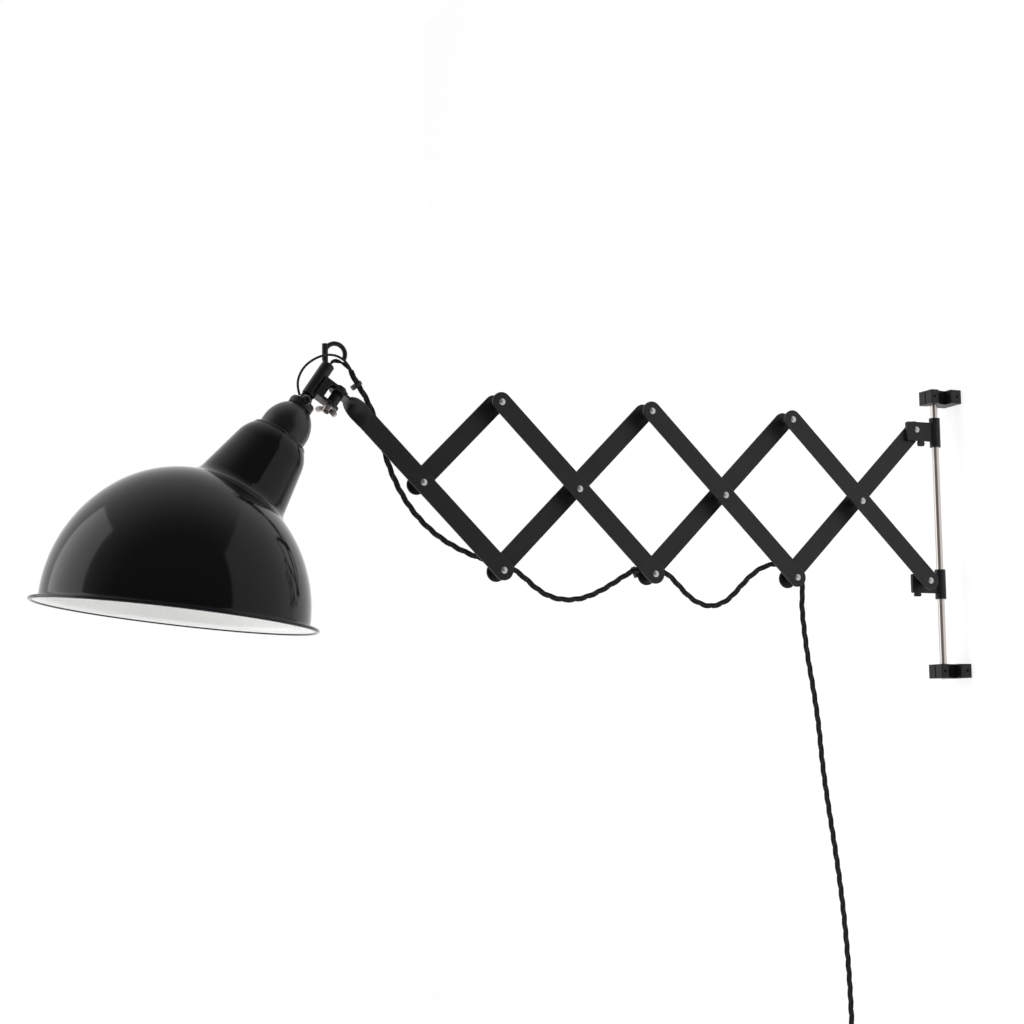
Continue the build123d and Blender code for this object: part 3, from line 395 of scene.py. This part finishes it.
# The cord's routes, in metres: the points of part.py.
cord_route = [
    (-0.7497, -0.016, 0.143),
    (-0.7435, -0.0143, 0.1335),
    (-0.7365, -0.012, 0.1245),
    (-0.7285, -0.0092, 0.113),
    (-0.721, -0.0072, 0.0985),
    (-0.7155, -0.0067, 0.0815),
    (-0.71, -0.0067, 0.062),
    (-0.7025, -0.0067, 0.041),
    (-0.6925, -0.0067, 0.0215),
    (-0.681, -0.0067, 0.0045),
    (-0.6655, -0.0067, -0.0115),
    (-0.649, -0.0067, -0.024),
    (-0.6315, -0.0067, -0.0335),
    (-0.613, -0.0067, -0.041),
    (-0.597, -0.0067, -0.0455),
    (-0.5835, -0.0067, -0.0482),
    (-0.5685, -0.0067, -0.0535),
    (-0.556, -0.0067, -0.062),
    (-0.5445, -0.0067, -0.072),
    (-0.53, -0.0067, -0.081),
    (-0.5115, -0.0067, -0.0855),
    (-0.4905, -0.0067, -0.084),
    (-0.47, -0.0067, -0.0765),
    (-0.451, -0.0067, -0.066),
    (-0.434, -0.0067, -0.0555),
    (-0.4205, -0.0067, -0.0495),
    (-0.4065, -0.0067, -0.048),
    (-0.391, -0.0067, -0.052),
    (-0.379, -0.0067, -0.061),
    (-0.368, -0.0067, -0.0725),
    (-0.3545, -0.0067, -0.084),
    (-0.3345, -0.0067, -0.0905),
    (-0.3145, -0.0067, -0.084),
    (-0.3005, -0.0067, -0.0715),
    (-0.2865, -0.0067, -0.0575),
    (-0.271, -0.0067, -0.0465),
    (-0.257, -0.0067, -0.0415),
    (-0.242, -0.0067, -0.041),
    (-0.2295, -0.0067, -0.0452),
    (-0.2206, -0.0067, -0.0538),
    (-0.2162, -0.0067, -0.0658),
    (-0.2187, -0.0067, -0.084),
    (-0.217, -0.0067, -0.108),
    (-0.213, -0.0067, -0.143),
    (-0.2065, -0.0067, -0.18),
    (-0.201, -0.0067, -0.22),
    (-0.198, -0.0067, -0.262),
    (-0.1925, -0.0067, -0.304),
    (-0.1855, -0.0067, -0.35),
    (-0.179, -0.0067, -0.398),
    (-0.1745, -0.0067, -0.446),
    (-0.1715, -0.0067, -0.496),
    (-0.1703, -0.0067, -0.546),
    (-0.1703, -0.0067, -0.59),
]
supply_route = [
    (-0.74979, -0.0149, 0.14314),
    (-0.75303, -0.01579, 0.14811),
    (-0.7584, -0.0121, 0.1522),
    (-0.7644, -0.0119, 0.1536),
    (-0.769, -0.0134, 0.1516),
    (-0.77144, -0.01495, 0.14667),
]
earth_route = [
    (-0.74949, -0.01856, 0.14268),
    (-0.75273, -0.01945, 0.14765),
    (-0.7588, -0.022, 0.153),
    (-0.7675, -0.023, 0.1568),
    (-0.778, -0.0234, 0.1568),
    (-0.7895, -0.0236, 0.1524),
    (-0.8005, -0.0237, 0.144),
    (-0.807, -0.0238, 0.133),
    (-0.8086, -0.0239, 0.122),
    (-0.806, -0.024, 0.1135),
]


# The coil's points stand a little outside its radius, since the spline runs inside its points.
coil_radius, coil_outset = 0.031, 1.01
coil_turns = 5
coil_pitch = 0.0068
tail_length = 0.022
coil_start = Vector(cord_route[-1])
coil_end = coil_start + Vector((0, coil_pitch * coil_turns, 0))
turn_points = 16


def coil_route():
    """The put-away coil's points, and the short tail down to the plug."""
    centre = coil_start - Vector((coil_radius, 0, 0))
    route = []
    for i in range(1, coil_turns * turn_points + 1):
        angle = 2 * math.pi * i / turn_points
        swing = coil_radius * (coil_outset if i < coil_turns * turn_points else 1.0)
        route.append(centre + Vector((
            swing * math.cos(angle), coil_pitch * i / turn_points, -swing * math.sin(angle),
        )))
    tail = [coil_end - Vector((0, 0, tail_length * share)) for share in (0.4, 1)]
    return route + tail


def smooth_line(route):
    """The points of a route's smooth spline, read from a curve with no bevel."""
    curve = bpy.data.curves.new("route", "CURVE")
    curve.dimensions = "3D"
    curve.resolution_u = 24
    spline = curve.splines.new("NURBS")
    spline.points.add(len(route) - 1)
    for point, place in zip(spline.points, route):
        point.co = (*place, 1.0)
    spline.order_u = 3
    spline.use_endpoint_u = True
    holder = bpy.data.objects.new("route", curve)
    line = bpy.data.meshes.new_from_object(holder)
    points = [v.co.copy() for v in line.vertices]
    bpy.data.objects.remove(holder)
    bpy.data.curves.remove(curve)
    bpy.data.meshes.remove(line)
    return points


least_steps, least_step = 4, 1e-9


def even_stations(points, spacing, cuts):
    """Even stations along a line, in stretches that end at the cuts' nearest places."""
    lengths = [0.0]
    for a, b in zip(points, points[1:]):
        lengths.append(lengths[-1] + (b - a).length)
    nearest = [min(range(len(points)), key=lambda k: (points[k] - Vector(c)).length) for c in cuts]
    ends = [0.0] + [lengths[k] for k in nearest] + [lengths[-1]]
    stretches = []
    k = 0
    for start, end in zip(ends, ends[1:]):
        count = max(least_steps, round((end - start) / spacing))
        stretch = []
        for i in range(count + 1):
            want = min(start + (end - start) * i / count, lengths[-1])
            while k > 0 and lengths[k] > want:
                k -= 1
            while k < len(points) - 2 and lengths[k + 1] < want:
                k += 1
            share = (want - lengths[k]) / max(lengths[k + 1] - lengths[k], least_step)
            stretch.append((want, points[k].lerp(points[k + 1], share)))
        stretches.append(stretch)
    return stretches


def framed(stretches):
    """Each station with its direction and a side direction carried along without twist."""
    way = None
    side = None
    found = []
    for stretch in stretches:
        rows = []
        for i, (distance, place) in enumerate(stretch):
            before = stretch[max(i - 1, 0)][1]
            after = stretch[min(i + 1, len(stretch) - 1)][1]
            new_way = (after - before).normalized()
            if i == 0 and way is not None:
                new_way = way
            if side is None:
                side = new_way.orthogonal().normalized()
            side = (side - new_way * side.dot(new_way)).normalized()
            way = new_way
            rows.append((distance, place, way.copy(), side.copy()))
        found.append(rows)
    return found


def cores(name, rows, count, core_radius, circle, lay, sides=8):
    """Round cores twisted about a line, as one mesh with its braid laid out in a UV map."""
    points, faces, laid = [], [], []
    for core in range(count):
        spine = []
        for distance, place, way, side in rows:
            angle = 2 * math.pi * (distance / lay + core / count)
            out = side * math.cos(angle) + way.cross(side) * math.sin(angle)
            spine.append((distance, place + out * circle, out))
        first = len(points)
        for k, (distance, centre, out) in enumerate(spine):
            run = (spine[min(k + 1, len(spine) - 1)][1] - spine[max(k - 1, 0)][1]).normalized()
            out = (out - run * out.dot(run)).normalized()
            across = run.cross(out)
            for i in range(sides):
                turn = 2 * math.pi * i / sides
                swing = out * math.cos(turn) + across * math.sin(turn)
                points.append(centre + swing * core_radius)
        for k in range(len(spine) - 1):
            for i in range(sides):
                j = (i + 1) % sides
                low, high = first + k * sides, first + (k + 1) * sides
                faces.append((low + i, low + j, high + j, high + i))
                u, v = spine[k][0], spine[k + 1][0]
                laid += [(u, i / sides), (u, (i + 1) / sides), (v, (i + 1) / sides), (v, i / sides)]
        last = first + (len(spine) - 1) * sides
        faces.append(tuple(first + i for i in reversed(range(sides))))
        laid += [(spine[0][0], i / sides) for i in reversed(range(sides))]
        faces.append(tuple(last + i for i in range(sides)))
        laid += [(spine[-1][0], i / sides) for i in range(sides)]
    piece = new_piece(name, points, faces)
    layer = piece.data.uv_layers.new(name="braid")
    layer.data.foreach_set("uv", [c for uv in laid for c in uv])
    piece.data.materials.append(finish("braid"))
    return piece


def halfway(route, index):
    """The middle between a route's point and the next."""
    return (Vector(route[index]) + Vector(route[index + 1])) / 2


class LAMP_OT_finish_wall_side(bpy.types.Operator):
    """Finish the rod, its brackets and the two sliders"""
    bl_idname = "lamp.finish_wall_side"
    bl_label = "Finish wall side"

    def execute(self, context):
        dress("rod", "rod")
        dress(
            "brackets", "upper_wall_bracket", "lower_wall_bracket", "upper_slider", "lower_slider",
            "clamp_screws", "flange_set_screws", "upper_lock_screw", "lower_lock_screw",
        )
        dress("zinc", "upper_slider_rivet", "upper_slider_washer")
        dress("nylon", "upper_liner", "lower_liner")
        return {"FINISHED"}


class LAMP_OT_finish_lattice(bpy.types.Operator):
    """Finish the lattice's bars, spacers and rivets"""
    bl_idname = "lamp.finish_lattice"
    bl_label = "Finish lattice"

    def execute(self, context):
        for number in range(1, 5):
            dress("bars", f"front_bar_{number}", f"back_bar_{number}", f"spacers_{number}")
            dress("zinc", f"rivets_{number}")
        return {"FINISHED"}


# The head's hinge, the line of the neck and swivel bolt, and the way from the hinge to the bolt.
tilt_point = Vector((-0.79955, -0.01715, 0.108933))
neck_axis = Vector((0.559193, 0, 0.829038))
neck_reach = Vector((0.829038, 0, -0.559193))
bolt_offset = 0.0245
nut_angle = 38


def turned_nut(angle):
    """The wing nut, screwed round on its bolt to where the photograph has its wings."""
    piece = bpy.data.objects.new("turned_wing_nut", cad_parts["wing_nut"].data.copy())
    bpy.context.scene.collection.objects.link(piece)
    bolt = tilt_point + neck_reach * bolt_offset
    spin = Matrix.Rotation(angle, 4, neck_axis)
    piece.data.transform(Matrix.Translation(bolt) @ spin @ Matrix.Translation(-bolt))
    piece.data.materials.clear()
    piece.data.materials.append(finish("wing"))
    piece.data.polygons.foreach_set("material_index", [0] * len(piece.data.polygons))
    return piece


class LAMP_OT_finish_head(bpy.types.Operator):
    """Finish the stem, its hook and the swivel and tilt joints"""
    bl_idname = "lamp.finish_head"
    bl_label = "Finish head"

    def execute(self, context):
        dress(
            "head", "clevis", "swivel_bolt", "swivel_bush", "stem", "stem_screw", "hook",
            "tilt_screw", "hinge_cap",
        )
        dress("zinc", "earth_terminal", "nipple")
        nut = turned_nut(math.radians(nut_angle))
        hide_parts("wing_nut")
        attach(nut, "stem_body")
        return {"FINISHED"}


# The shade in metres, from part.py. Its neck is where the CAD has it. The bowl's place and
# lean are the photograph's: the CAD has rim_offset the other way, which is 27 mm off.
rim_drop, rim_offset = 0.2527, 0.0137
rim_centre = tilt_point - neck_axis * rim_drop + neck_reach * rim_offset
rim_axis = Vector((0.1167, -0.028, 0.9931)).normalized()
shade_wall = 0.0008
shade_sides = 128
neck_hole = 0.0202
neck_top = 0.0442
lip_radius, lip_round = 0.0302, 0.0034
shoulder_swell, shoulder_middle = 0.0008, 0.0545
shoulder_radius, shoulder_depth = 0.0374, 0.0622
neck_taper = 0.19216
bowl_radius, bowl_height, bowl_foot = 0.1305, 0.1392, 0.0058
flare_radius = 0.005
bead_out, bead_radius = 0.1382, 0.0018
junction = 0.008
crown_radius = bowl_radius ** 2 / bowl_height
side_radius = bowl_height * (bowl_height + bowl_radius) / (2 * bowl_radius)
side_out = bowl_radius - side_radius
crown_up = bowl_foot + bowl_height - crown_radius
join_out, join_up = Vector((-side_out, crown_up - bowl_foot)).normalized()
# The heart is a place inside the shade from which rays look for its skin, this near to this far.
heart_depth, ray_near, ray_far, halvings = 0.136, 0.004, 0.26, 18
outer_rings, inner_rings = 64, 48


def outside_shade(place):
    """How far a point is outside the neck and the bowl, which meet in a soft junction."""
    from_tilt = place - tilt_point
    depth = -from_tilt.dot(neck_axis)
    neck = (from_tilt + neck_axis * depth).length - shoulder_radius
    neck = (neck - neck_taper * (depth - shoulder_depth)) / math.hypot(1, neck_taper)
    from_rim = place - rim_centre
    up = from_rim.dot(rim_axis)
    out = (from_rim - rim_axis * up).length
    if join_out * (up - crown_up) > join_up * out:
        bowl = math.hypot(out, up - crown_up) - crown_radius
    else:
        bowl = math.hypot(out - side_out, up - bowl_foot) - side_radius
    meet = max(junction - abs(neck - bowl), 0) / junction
    return min(neck, bowl) - meet * meet * junction / 4


def ring_about(base, axis, radius, height):
    """A ring of points about an axis, counted from the side that faces the wall."""
    second = (Vector((0, 1, 0)) - axis * axis.y).normalized()
    first = second.cross(axis)
    middle = base + axis * height
    turns = [2 * math.pi * i / shade_sides for i in range(shade_sides)]
    return [middle + (first * math.cos(t) + second * math.sin(t)) * radius for t in turns]


def skin(level, upper, lower, count):
    """Rings between two rings, where rays from the shade's heart come to a level below its skin."""
    heart = tilt_point - neck_axis * heart_depth
    rings = []
    for k in range(1, count):
        ring = []
        for a, b in zip(upper, lower):
            way = (a - heart).normalized().slerp((b - heart).normalized(), k / count)
            near, far = ray_near, ray_far
            for _ in range(halvings):
                middle = (near + far) / 2
                if outside_shade(heart + way * middle) < -level:
                    near = middle
                else:
                    far = middle
            ring.append(heart + way * near)
        rings.append(ring)
    return rings


def bend(start, through, end, count):
    """Points of a smooth curve through three points of a profile, without its ends."""
    start, through, end = Vector(start), Vector(through), Vector(end)
    corner = through * 2 - (start + end) / 2
    return [
        start * (1 - t) ** 2 + corner * 2 * t * (1 - t) + end * t * t
        for t in (i / count for i in range(1, count))
    ]


def neck_profile(inset):
    """The neck's rounded top and shoulder, as radius and depth."""
    lip = lip_radius - inset
    wide = shoulder_radius - inset
    top = neck_top + inset
    swell = ((lip + wide) / 2 + shoulder_swell, shoulder_middle)
    return [
        Vector((neck_hole, top)), Vector((lip - lip_round, top)),
        *bend((lip - lip_round, top), (lip - 0.0009, top + 0.0012), (lip, top + 0.0036), 5),
        Vector((lip, top + 0.0036)),
        *bend((lip, top + 0.0036), swell, (wide, shoulder_depth), 7),
        *(Vector((wide + neck_taper * more, shoulder_depth + more)) for more in (0, 0.003, 0.006)),
    ]


def rim_profile():
    """The foot flaring out to the rolled bead and back inside, as radius and height."""
    turn = bowl_radius + flare_radius
    quarter = [math.pi * i / 16 for i in range(9)]
    outer = [
        Vector((turn - flare_radius * math.cos(t), bowl_foot - flare_radius * math.sin(t)))
        for t in quarter
    ]
    bead = [
        Vector((bead_out + bead_radius * math.cos(t), shade_wall / 2 + bead_radius * math.sin(t)))
        for t in (math.radians(165 - 30 * i) for i in range(12))
    ]
    inner = [
        Vector((turn - bowl_foot * math.cos(t), bowl_foot - bowl_foot * math.sin(t)))
        for t in reversed(quarter)
    ]
    return outer, bead, inner


def shade_enamel():
    """The enamelled shade: one closed wall, out over neck and bowl, round the bead and back."""
    def neck_rings(profile):
        return [ring_about(tilt_point, neck_axis, radius, -depth) for radius, depth in profile]

    def rim_rings(profile):
        return [ring_about(rim_centre, rim_axis, radius, height) for radius, height in profile]

    outer, bead, inner = (rim_rings(profile) for profile in rim_profile())
    outside = neck_rings(neck_profile(0))
    outside += skin(0, outside[-1], outer[0], outer_rings) + outer + bead
    neck = neck_rings(reversed(neck_profile(shade_wall)))
    inside = inner + list(reversed(skin(shade_wall, neck[0], inner[-1], inner_rings))) + neck
    rings = outside + inside
    faces, finish_of = [], []
    for k in range(len(rings)):
        low, high = k * shade_sides, (k + 1) % len(rings) * shade_sides
        for i in range(shade_sides):
            j = (i + 1) % shade_sides
            faces.append((low + i, low + j, high + j, high + i))
            finish_of.append(1 if len(outside) <= k < len(rings) - 1 else 0)
    piece = new_piece("shade_enamel", [p for ring in rings for p in ring], faces)
    piece.data.materials.append(finish("enamel_outside"))
    piece.data.materials.append(finish("enamel_inside"))
    piece.data.polygons.foreach_set("material_index", finish_of)
    mesh = bmesh.new()
    mesh.from_mesh(piece.data)
    bmesh.ops.recalc_face_normals(mesh, faces=mesh.faces)
    mesh.to_mesh(piece.data)
    mesh.free()
    return piece


class LAMP_OT_finish_shade(bpy.types.Operator):
    """Enamel the shade black outside and white inside, and finish what holds it"""
    bl_idname = "lamp.finish_shade"
    bl_label = "Finish shade"

    def execute(self, context):
        piece = shade_enamel()
        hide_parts("shade")
        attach(piece, "shade_body")
        dress("phenolic", "socket_cover", "lampholder", "shade_ring")
        dress("brass", "screw_shell", "centre_contact")
        return {"FINISHED"}


# Diameters over the braid, as in part.py.
cord_diameter, pair_diameter, earth_diameter = 0.0062, 0.0042, 0.0026
lead_lay, lead_station, lead_sides = 0.022, 0.0012, 10

# Each stretch of the cord: its piece, its CAD nodes, its body or two, and how it lies.
cord_stretches = (
    ("head_cord", ["cord_head"], ["stem_body", "front_bar_body_1"], "loose"),
    ("arm_cord", ["cord_arm"], ["front_bar_body_1"], "loose"),
    ("loop_cord_1", ["cord_loop_1"], ["back_bar_body_2", "front_bar_body_2"], "hanging"),
    ("loop_cord_2", ["cord_loop_2"], ["back_bar_body_3", "front_bar_body_3"], "hanging"),
    ("drop_cord", ["cord_drop", "cord_coil"], ["drop_cord"], "hanging"),
)
stretch_ends = (4, 15, 26, 37)


def hang(piece, bodies):
    """Carries a cord by one body; a cord between two bodies only has its place baked into its mesh.
    """
    if len(bodies) == 1:
        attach(piece, bodies[0])
    else:
        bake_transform(piece)


class LAMP_OT_twist_cords(bpy.types.Operator):
    """Twist the textile cord from the head to the plug, and the two leads at the head"""
    bl_idname = "lamp.twist_cords"
    bl_label = "Twist cords"

    def execute(self, context):
        sizes = context.scene.lamp_cord
        line = smooth_line([Vector(p) for p in cord_route] + coil_route())
        cuts = [halfway(cord_route, i) for i in stretch_ends]
        runs = framed(even_stations(line, sizes.station, cuts))
        for (name, nodes, bodies, lay), rows in zip(cord_stretches, runs):
            piece = cores(
                name, rows, 3, sizes.core_diameter / 2, sizes.core_circle, sizes.lay_length,
            )
            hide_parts(*nodes)
            hang(piece, bodies)
        for name, node, route, count, core, circle, diameter, bodies in (
            (
                "supply_pair", "supply_lead", supply_route, 2, sizes.pair_core,
                sizes.pair_circle, pair_diameter, ["stem_body"],
            ),
            (
                "earth_core", "earth_lead", earth_route, 1, sizes.earth_core,
                0.0, earth_diameter, ["stem_body", "shade_body"],
            ),
        ):
            line = smooth_line([Vector(p) for p in route])
            rows = framed(even_stations(line, lead_station, []))[0]
            piece = cores(name, rows, count, core / 2, circle, lead_lay, lead_sides)
            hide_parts(node)
            hang(piece, bodies)
        return {"FINISHED"}


# The strain relief at the plug, as (radius, place down the cord): its two ends, and the ribs
# between them, each as (how far along from its place, how far out).
relief_head = [(0.0033, 0.0), (0.0040, 0.0003)]
relief_foot = [(0.0060, 0.0262), (0.0040, 0.0264)]
rib_profile = ((-0.0008, 0.0), (-0.0004, 0.0007), (0.0006, 0.0007), (0.0010, 0.0))
rib_count, first_rib, rib_pitch = 7, 0.0022, 0.0036
first_body, body_growth = 0.0041, 0.00026
relief_above = 0.012


class LAMP_OT_finish_plug(bpy.types.Operator):
    """Finish the plug and the ties, and slip a ribbed strain relief over the cord at the plug"""
    bl_idname = "lamp.finish_plug"
    bl_label = "Finish plug and ties"

    def execute(self, context):
        dress("plug", "plug")
        dress("brass", "plug_pins")
        dress("nylon", "coil_tie", "cord_tie_head", "cord_tie_arm")
        rings = list(relief_head)
        for i in range(rib_count):
            place, body = first_rib + rib_pitch * i, first_body + body_growth * i
            rings += [(body + out, place + along) for along, out in rib_profile]
        rings += relief_foot
        relief_top = coil_end - Vector((0, 0, tail_length - relief_above))
        piece = lathe("plug_relief", rings, relief_top, (0, 0, -1), 40)
        piece.data.materials.append(finish("plug"))
        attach(piece, "drop_cord")
        return {"FINISHED"}


white = (1, 1, 1, 1)
# What the camera sees of the boards: a glow, and a faint share of the light that keeps shadows.
board_glow, board_share = 0.79, 0.27


def background_white(name, colour):
    """White board that all but diffuse light sees as lit, and that still takes a faint shadow."""
    material, tree, output = new_material(name)
    rays = add_node(tree, "ShaderNodeLightPath")
    side = add_node(tree, "ShaderNodeNewGeometry")
    seen = add_node(
        tree, "ShaderNodeMath", {"operation": "MAXIMUM"},
        {0: rays.outputs["Is Camera Ray"], 1: rays.outputs["Is Glossy Ray"]},
    )
    seen = add_node(
        tree, "ShaderNodeMath", {"operation": "MAXIMUM"},
        {0: seen.outputs[0], 1: rays.outputs["Is Transmission Ray"]},
    )
    board = add_node(tree, "ShaderNodeBsdfDiffuse", {"Color": (*colour, 1)})
    glow = add_node(tree, "ShaderNodeEmission", {"Color": white, "Strength": board_glow})
    faint = add_node(tree, "ShaderNodeBsdfDiffuse", {"Color": (*shaded(white[:3], board_share), 1)})
    lit = add_node(tree, "ShaderNodeAddShader", {}, {0: glow.outputs[0], 1: faint.outputs[0]})
    front = add_node(
        tree, "ShaderNodeMixShader", {},
        {0: seen.outputs[0], 1: board.outputs[0], 2: lit.outputs[0]},
    )
    clear = add_node(tree, "ShaderNodeBsdfTransparent")
    both = add_node(
        tree, "ShaderNodeMixShader", {},
        {0: side.outputs["Backfacing"], 1: front.outputs[0], 2: clear.outputs[0]},
    )
    tree.links.new(both.outputs[0], output.inputs["Surface"])
    return material


def gloss_board(name, strength):
    """A lit board that only gloss sees."""
    material, tree, output = new_material(name)
    rays = add_node(tree, "ShaderNodeLightPath")
    clear = add_node(tree, "ShaderNodeBsdfTransparent")
    glow = add_node(tree, "ShaderNodeEmission", {"Color": white, "Strength": strength})
    both = add_node(
        tree, "ShaderNodeMixShader", {},
        {0: rays.outputs["Is Glossy Ray"], 1: clear.outputs[0], 2: glow.outputs[0]},
    )
    tree.links.new(both.outputs[0], output.inputs["Surface"])
    return material


def light_box(name, place, aim, width, height, power):
    """A soft box that faces a point and lights matt surfaces."""
    lamp = bpy.data.lights.new(name, "AREA")
    lamp.shape = "RECTANGLE"
    lamp.size, lamp.size_y, lamp.energy = width, height, power
    holder = bpy.data.objects.new(name, lamp)
    bpy.context.scene.collection.objects.link(holder)
    holder.location = place
    holder.rotation_euler = (Vector(aim) - Vector(place)).to_track_quat("-Z", "Y").to_euler()
    holder.visible_camera = False
    holder.visible_glossy = False


# The fixed way in which the studio is dark, and how it fades: the cosine to it where the dark
# starts and is full, and what is left there.
dark_side = (-0.18, -0.97, -0.05)
dark_from, dark_full, dark_left = -0.35, 0.6, 0.16


def studio_world(sky):
    """Even light for matt surfaces, white for the camera, and for gloss a studio dark in front."""
    world = bpy.data.worlds.new("studio")
    bpy.context.scene.world = world
    world.use_nodes = True
    tree = world.node_tree
    tree.nodes.clear()
    output = tree.nodes.new("ShaderNodeOutputWorld")
    rays = add_node(tree, "ShaderNodeLightPath")
    place = add_node(tree, "ShaderNodeTexCoord")
    dark_way = add_node(
        tree, "ShaderNodeVectorMath", {"operation": "DOT_PRODUCT", 1: dark_side},
        {0: place.outputs["Generated"]},
    )
    gloss = add_node(
        tree, "ShaderNodeMapRange",
        {
            "interpolation_type": "SMOOTHSTEP",
            "From Min": dark_from, "From Max": dark_full, "To Min": 1.0, "To Max": dark_left,
        },
        {"Value": dark_way.outputs["Value"]},
    )
    glossy = add_node(
        tree, "ShaderNodeMath", {"operation": "MAXIMUM"},
        {0: rays.outputs["Is Glossy Ray"], 1: rays.outputs["Is Transmission Ray"]},
    )
    strength = add_node(
        tree, "ShaderNodeMix", {"data_type": "FLOAT", 2: sky},
        {0: glossy.outputs[0], 3: gloss.outputs["Result"]},
    )
    whole = add_node(
        tree, "ShaderNodeMix", {"data_type": "FLOAT", 3: 1.0},
        {0: rays.outputs["Is Camera Ray"], 2: strength.outputs[0]},
    )
    glow = add_node(
        tree, "ShaderNodeBackground", {"Color": white}, {"Strength": whole.outputs[0]},
    )
    tree.links.new(glow.outputs[0], output.inputs["Surface"])


def board(name, corners, material):
    """A flat stage board."""
    piece = new_piece(name, corners, [(0, 1, 2, 3)], smooth=False)
    piece.data.materials.append(material)


# The room, in metres: the wall's face, its far ends and top, and how far the floor comes out.
wall_face, wall_near, wall_far, wall_top = 0.0006, -1.5, 1.7, 1.2
floor_out, floor_near = -3.0, -2.2
# The light beside the shade, placed from its middle along the picture's own directions.
shade_middle = Vector((-0.95, -0.017, -0.03))
picture_right, picture_away = Vector((0.916, -0.401, 0)), Vector((0.401, 0.916, 0))
side_left, side_away, side_rise = 1.0, 0.12, Vector((0, 0, 0.12))
side_width, side_height, sheen_rise = 0.96, 1.5, Vector((0, 0, 1.05))
# The other two: place, aim, width, height and the property that holds the power.
light_boxes = (
    ("top box", (-0.6, -0.15, 1.35), (-0.6, -0.05, 0.0), 1.7, 1.1, "top_box"),
    ("front box", (-0.1, -1.5, 1.1), (-0.45, 0, 0), 1.0, 0.8, "front_box"),
)
# The photograph's camera: its place, and its yaw, pitch and roll in degrees.
camera_place = (-1.4033, -1.91335, -0.23266)
camera_turn = (23.64, 6.545, -0.748)
sensor_mm, lens_mm = 36.0, 70.3125


def photograph_camera():
    """The camera at the photograph's place, turned by its yaw, pitch and roll."""
    lens = bpy.data.cameras.new("camera")
    lens.sensor_width, lens.lens = sensor_mm, lens_mm
    lens.clip_start, lens.clip_end = 0.05, 50.0
    camera = bpy.data.objects.new("camera", lens)
    bpy.context.scene.collection.objects.link(camera)
    yaw, pitch, roll = (math.radians(angle) for angle in camera_turn)
    level = Vector((math.cos(yaw), -math.sin(yaw), 0))
    ahead = Vector((
        math.sin(yaw) * math.cos(pitch), math.cos(yaw) * math.cos(pitch), math.sin(pitch),
    ))
    upright = level.cross(ahead)
    across = level * math.cos(roll) + upright * math.sin(roll)
    above = upright * math.cos(roll) - level * math.sin(roll)
    turn = Matrix((across, above, -ahead)).transposed()
    camera.matrix_world = Matrix.Translation(camera_place) @ turn.to_4x4()
    bpy.context.scene.camera = camera


class LAMP_OT_build_stage(bpy.types.Operator):
    """Put up the wall, floor, light boxes and camera"""
    bl_idname = "lamp.build_stage"
    bl_label = "Build stage"

    def execute(self, context):
        stage = context.scene.lamp_stage
        matt = background_white("matt white board", linear("#f4f4f4"))
        low = stage.floor_level
        board("wall", [
            (wall_face, wall_near, low), (wall_face, wall_near, wall_top),
            (wall_face, wall_far, wall_top), (wall_face, wall_far, low),
        ], matt)
        board("floor", [
            (floor_out, floor_near, low), (wall_face, floor_near, low),
            (wall_face, wall_far, low), (floor_out, wall_far, low),
        ], matt)
        studio_world(stage.sky)
        side = shade_middle - picture_right * side_left + picture_away * side_away + side_rise
        light_box(
            "side box", side, side + picture_right, side_width, side_height, stage.side_box,
        )
        edge = picture_away * (side_width / 2)
        board("side_sheen", [
            side - edge - sheen_rise, side + edge - sheen_rise,
            side + edge + sheen_rise, side - edge + sheen_rise,
        ], gloss_board("side sheen", stage.side_sheen))
        for *box, power in light_boxes:
            light_box(*box, getattr(stage, power))
        context.scene.view_settings.view_transform = "Standard"
        photograph_camera()
        return {"FINISHED"}


class LAMP_PT_panel(bpy.types.Panel):
    """The steps that dress the lamp, and their sizes and colours"""
    bl_label = "Accordion wall lamp"
    bl_idname = "LAMP_PT_panel"
    bl_space_type = "VIEW_3D"
    bl_region_type = "UI"
    bl_category = "Wall lamp"

    def draw(self, context):
        layout = self.layout
        for step in steps:
            layout.operator(step.bl_idname)
        for key in groups:
            box = layout.box()
            group = getattr(context.scene, key)
            for name in group.__annotations__:
                box.prop(group, name)


steps = (
    LAMP_OT_finish_wall_side,
    LAMP_OT_finish_lattice,
    LAMP_OT_finish_head,
    LAMP_OT_finish_shade,
    LAMP_OT_finish_plug,
    LAMP_OT_twist_cords,
    LAMP_OT_build_stage,
)
classes = (LampFinishes, LampCord, LampStage, *steps, LAMP_PT_panel)
groups = {"lamp_finishes": LampFinishes, "lamp_cord": LampCord, "lamp_stage": LampStage}


def register():
    """Makes the classes and properties known."""
    for made in classes:
        bpy.utils.register_class(made)
    for name, group in groups.items():
        setattr(bpy.types.Scene, name, bpy.props.PointerProperty(type=group))


def unregister():
    """Takes them away again."""
    for name in groups:
        delattr(bpy.types.Scene, name)
    for made in reversed(classes):
        bpy.utils.unregister_class(made)


def main():
    """Dresses the lamp step by step."""
    register()
    for step in steps:
        group, name = step.bl_idname.split(".")
        getattr(getattr(bpy.ops, group), name)()
    bpy.context.view_layer.update()


if __name__ == "__main__":
    main()
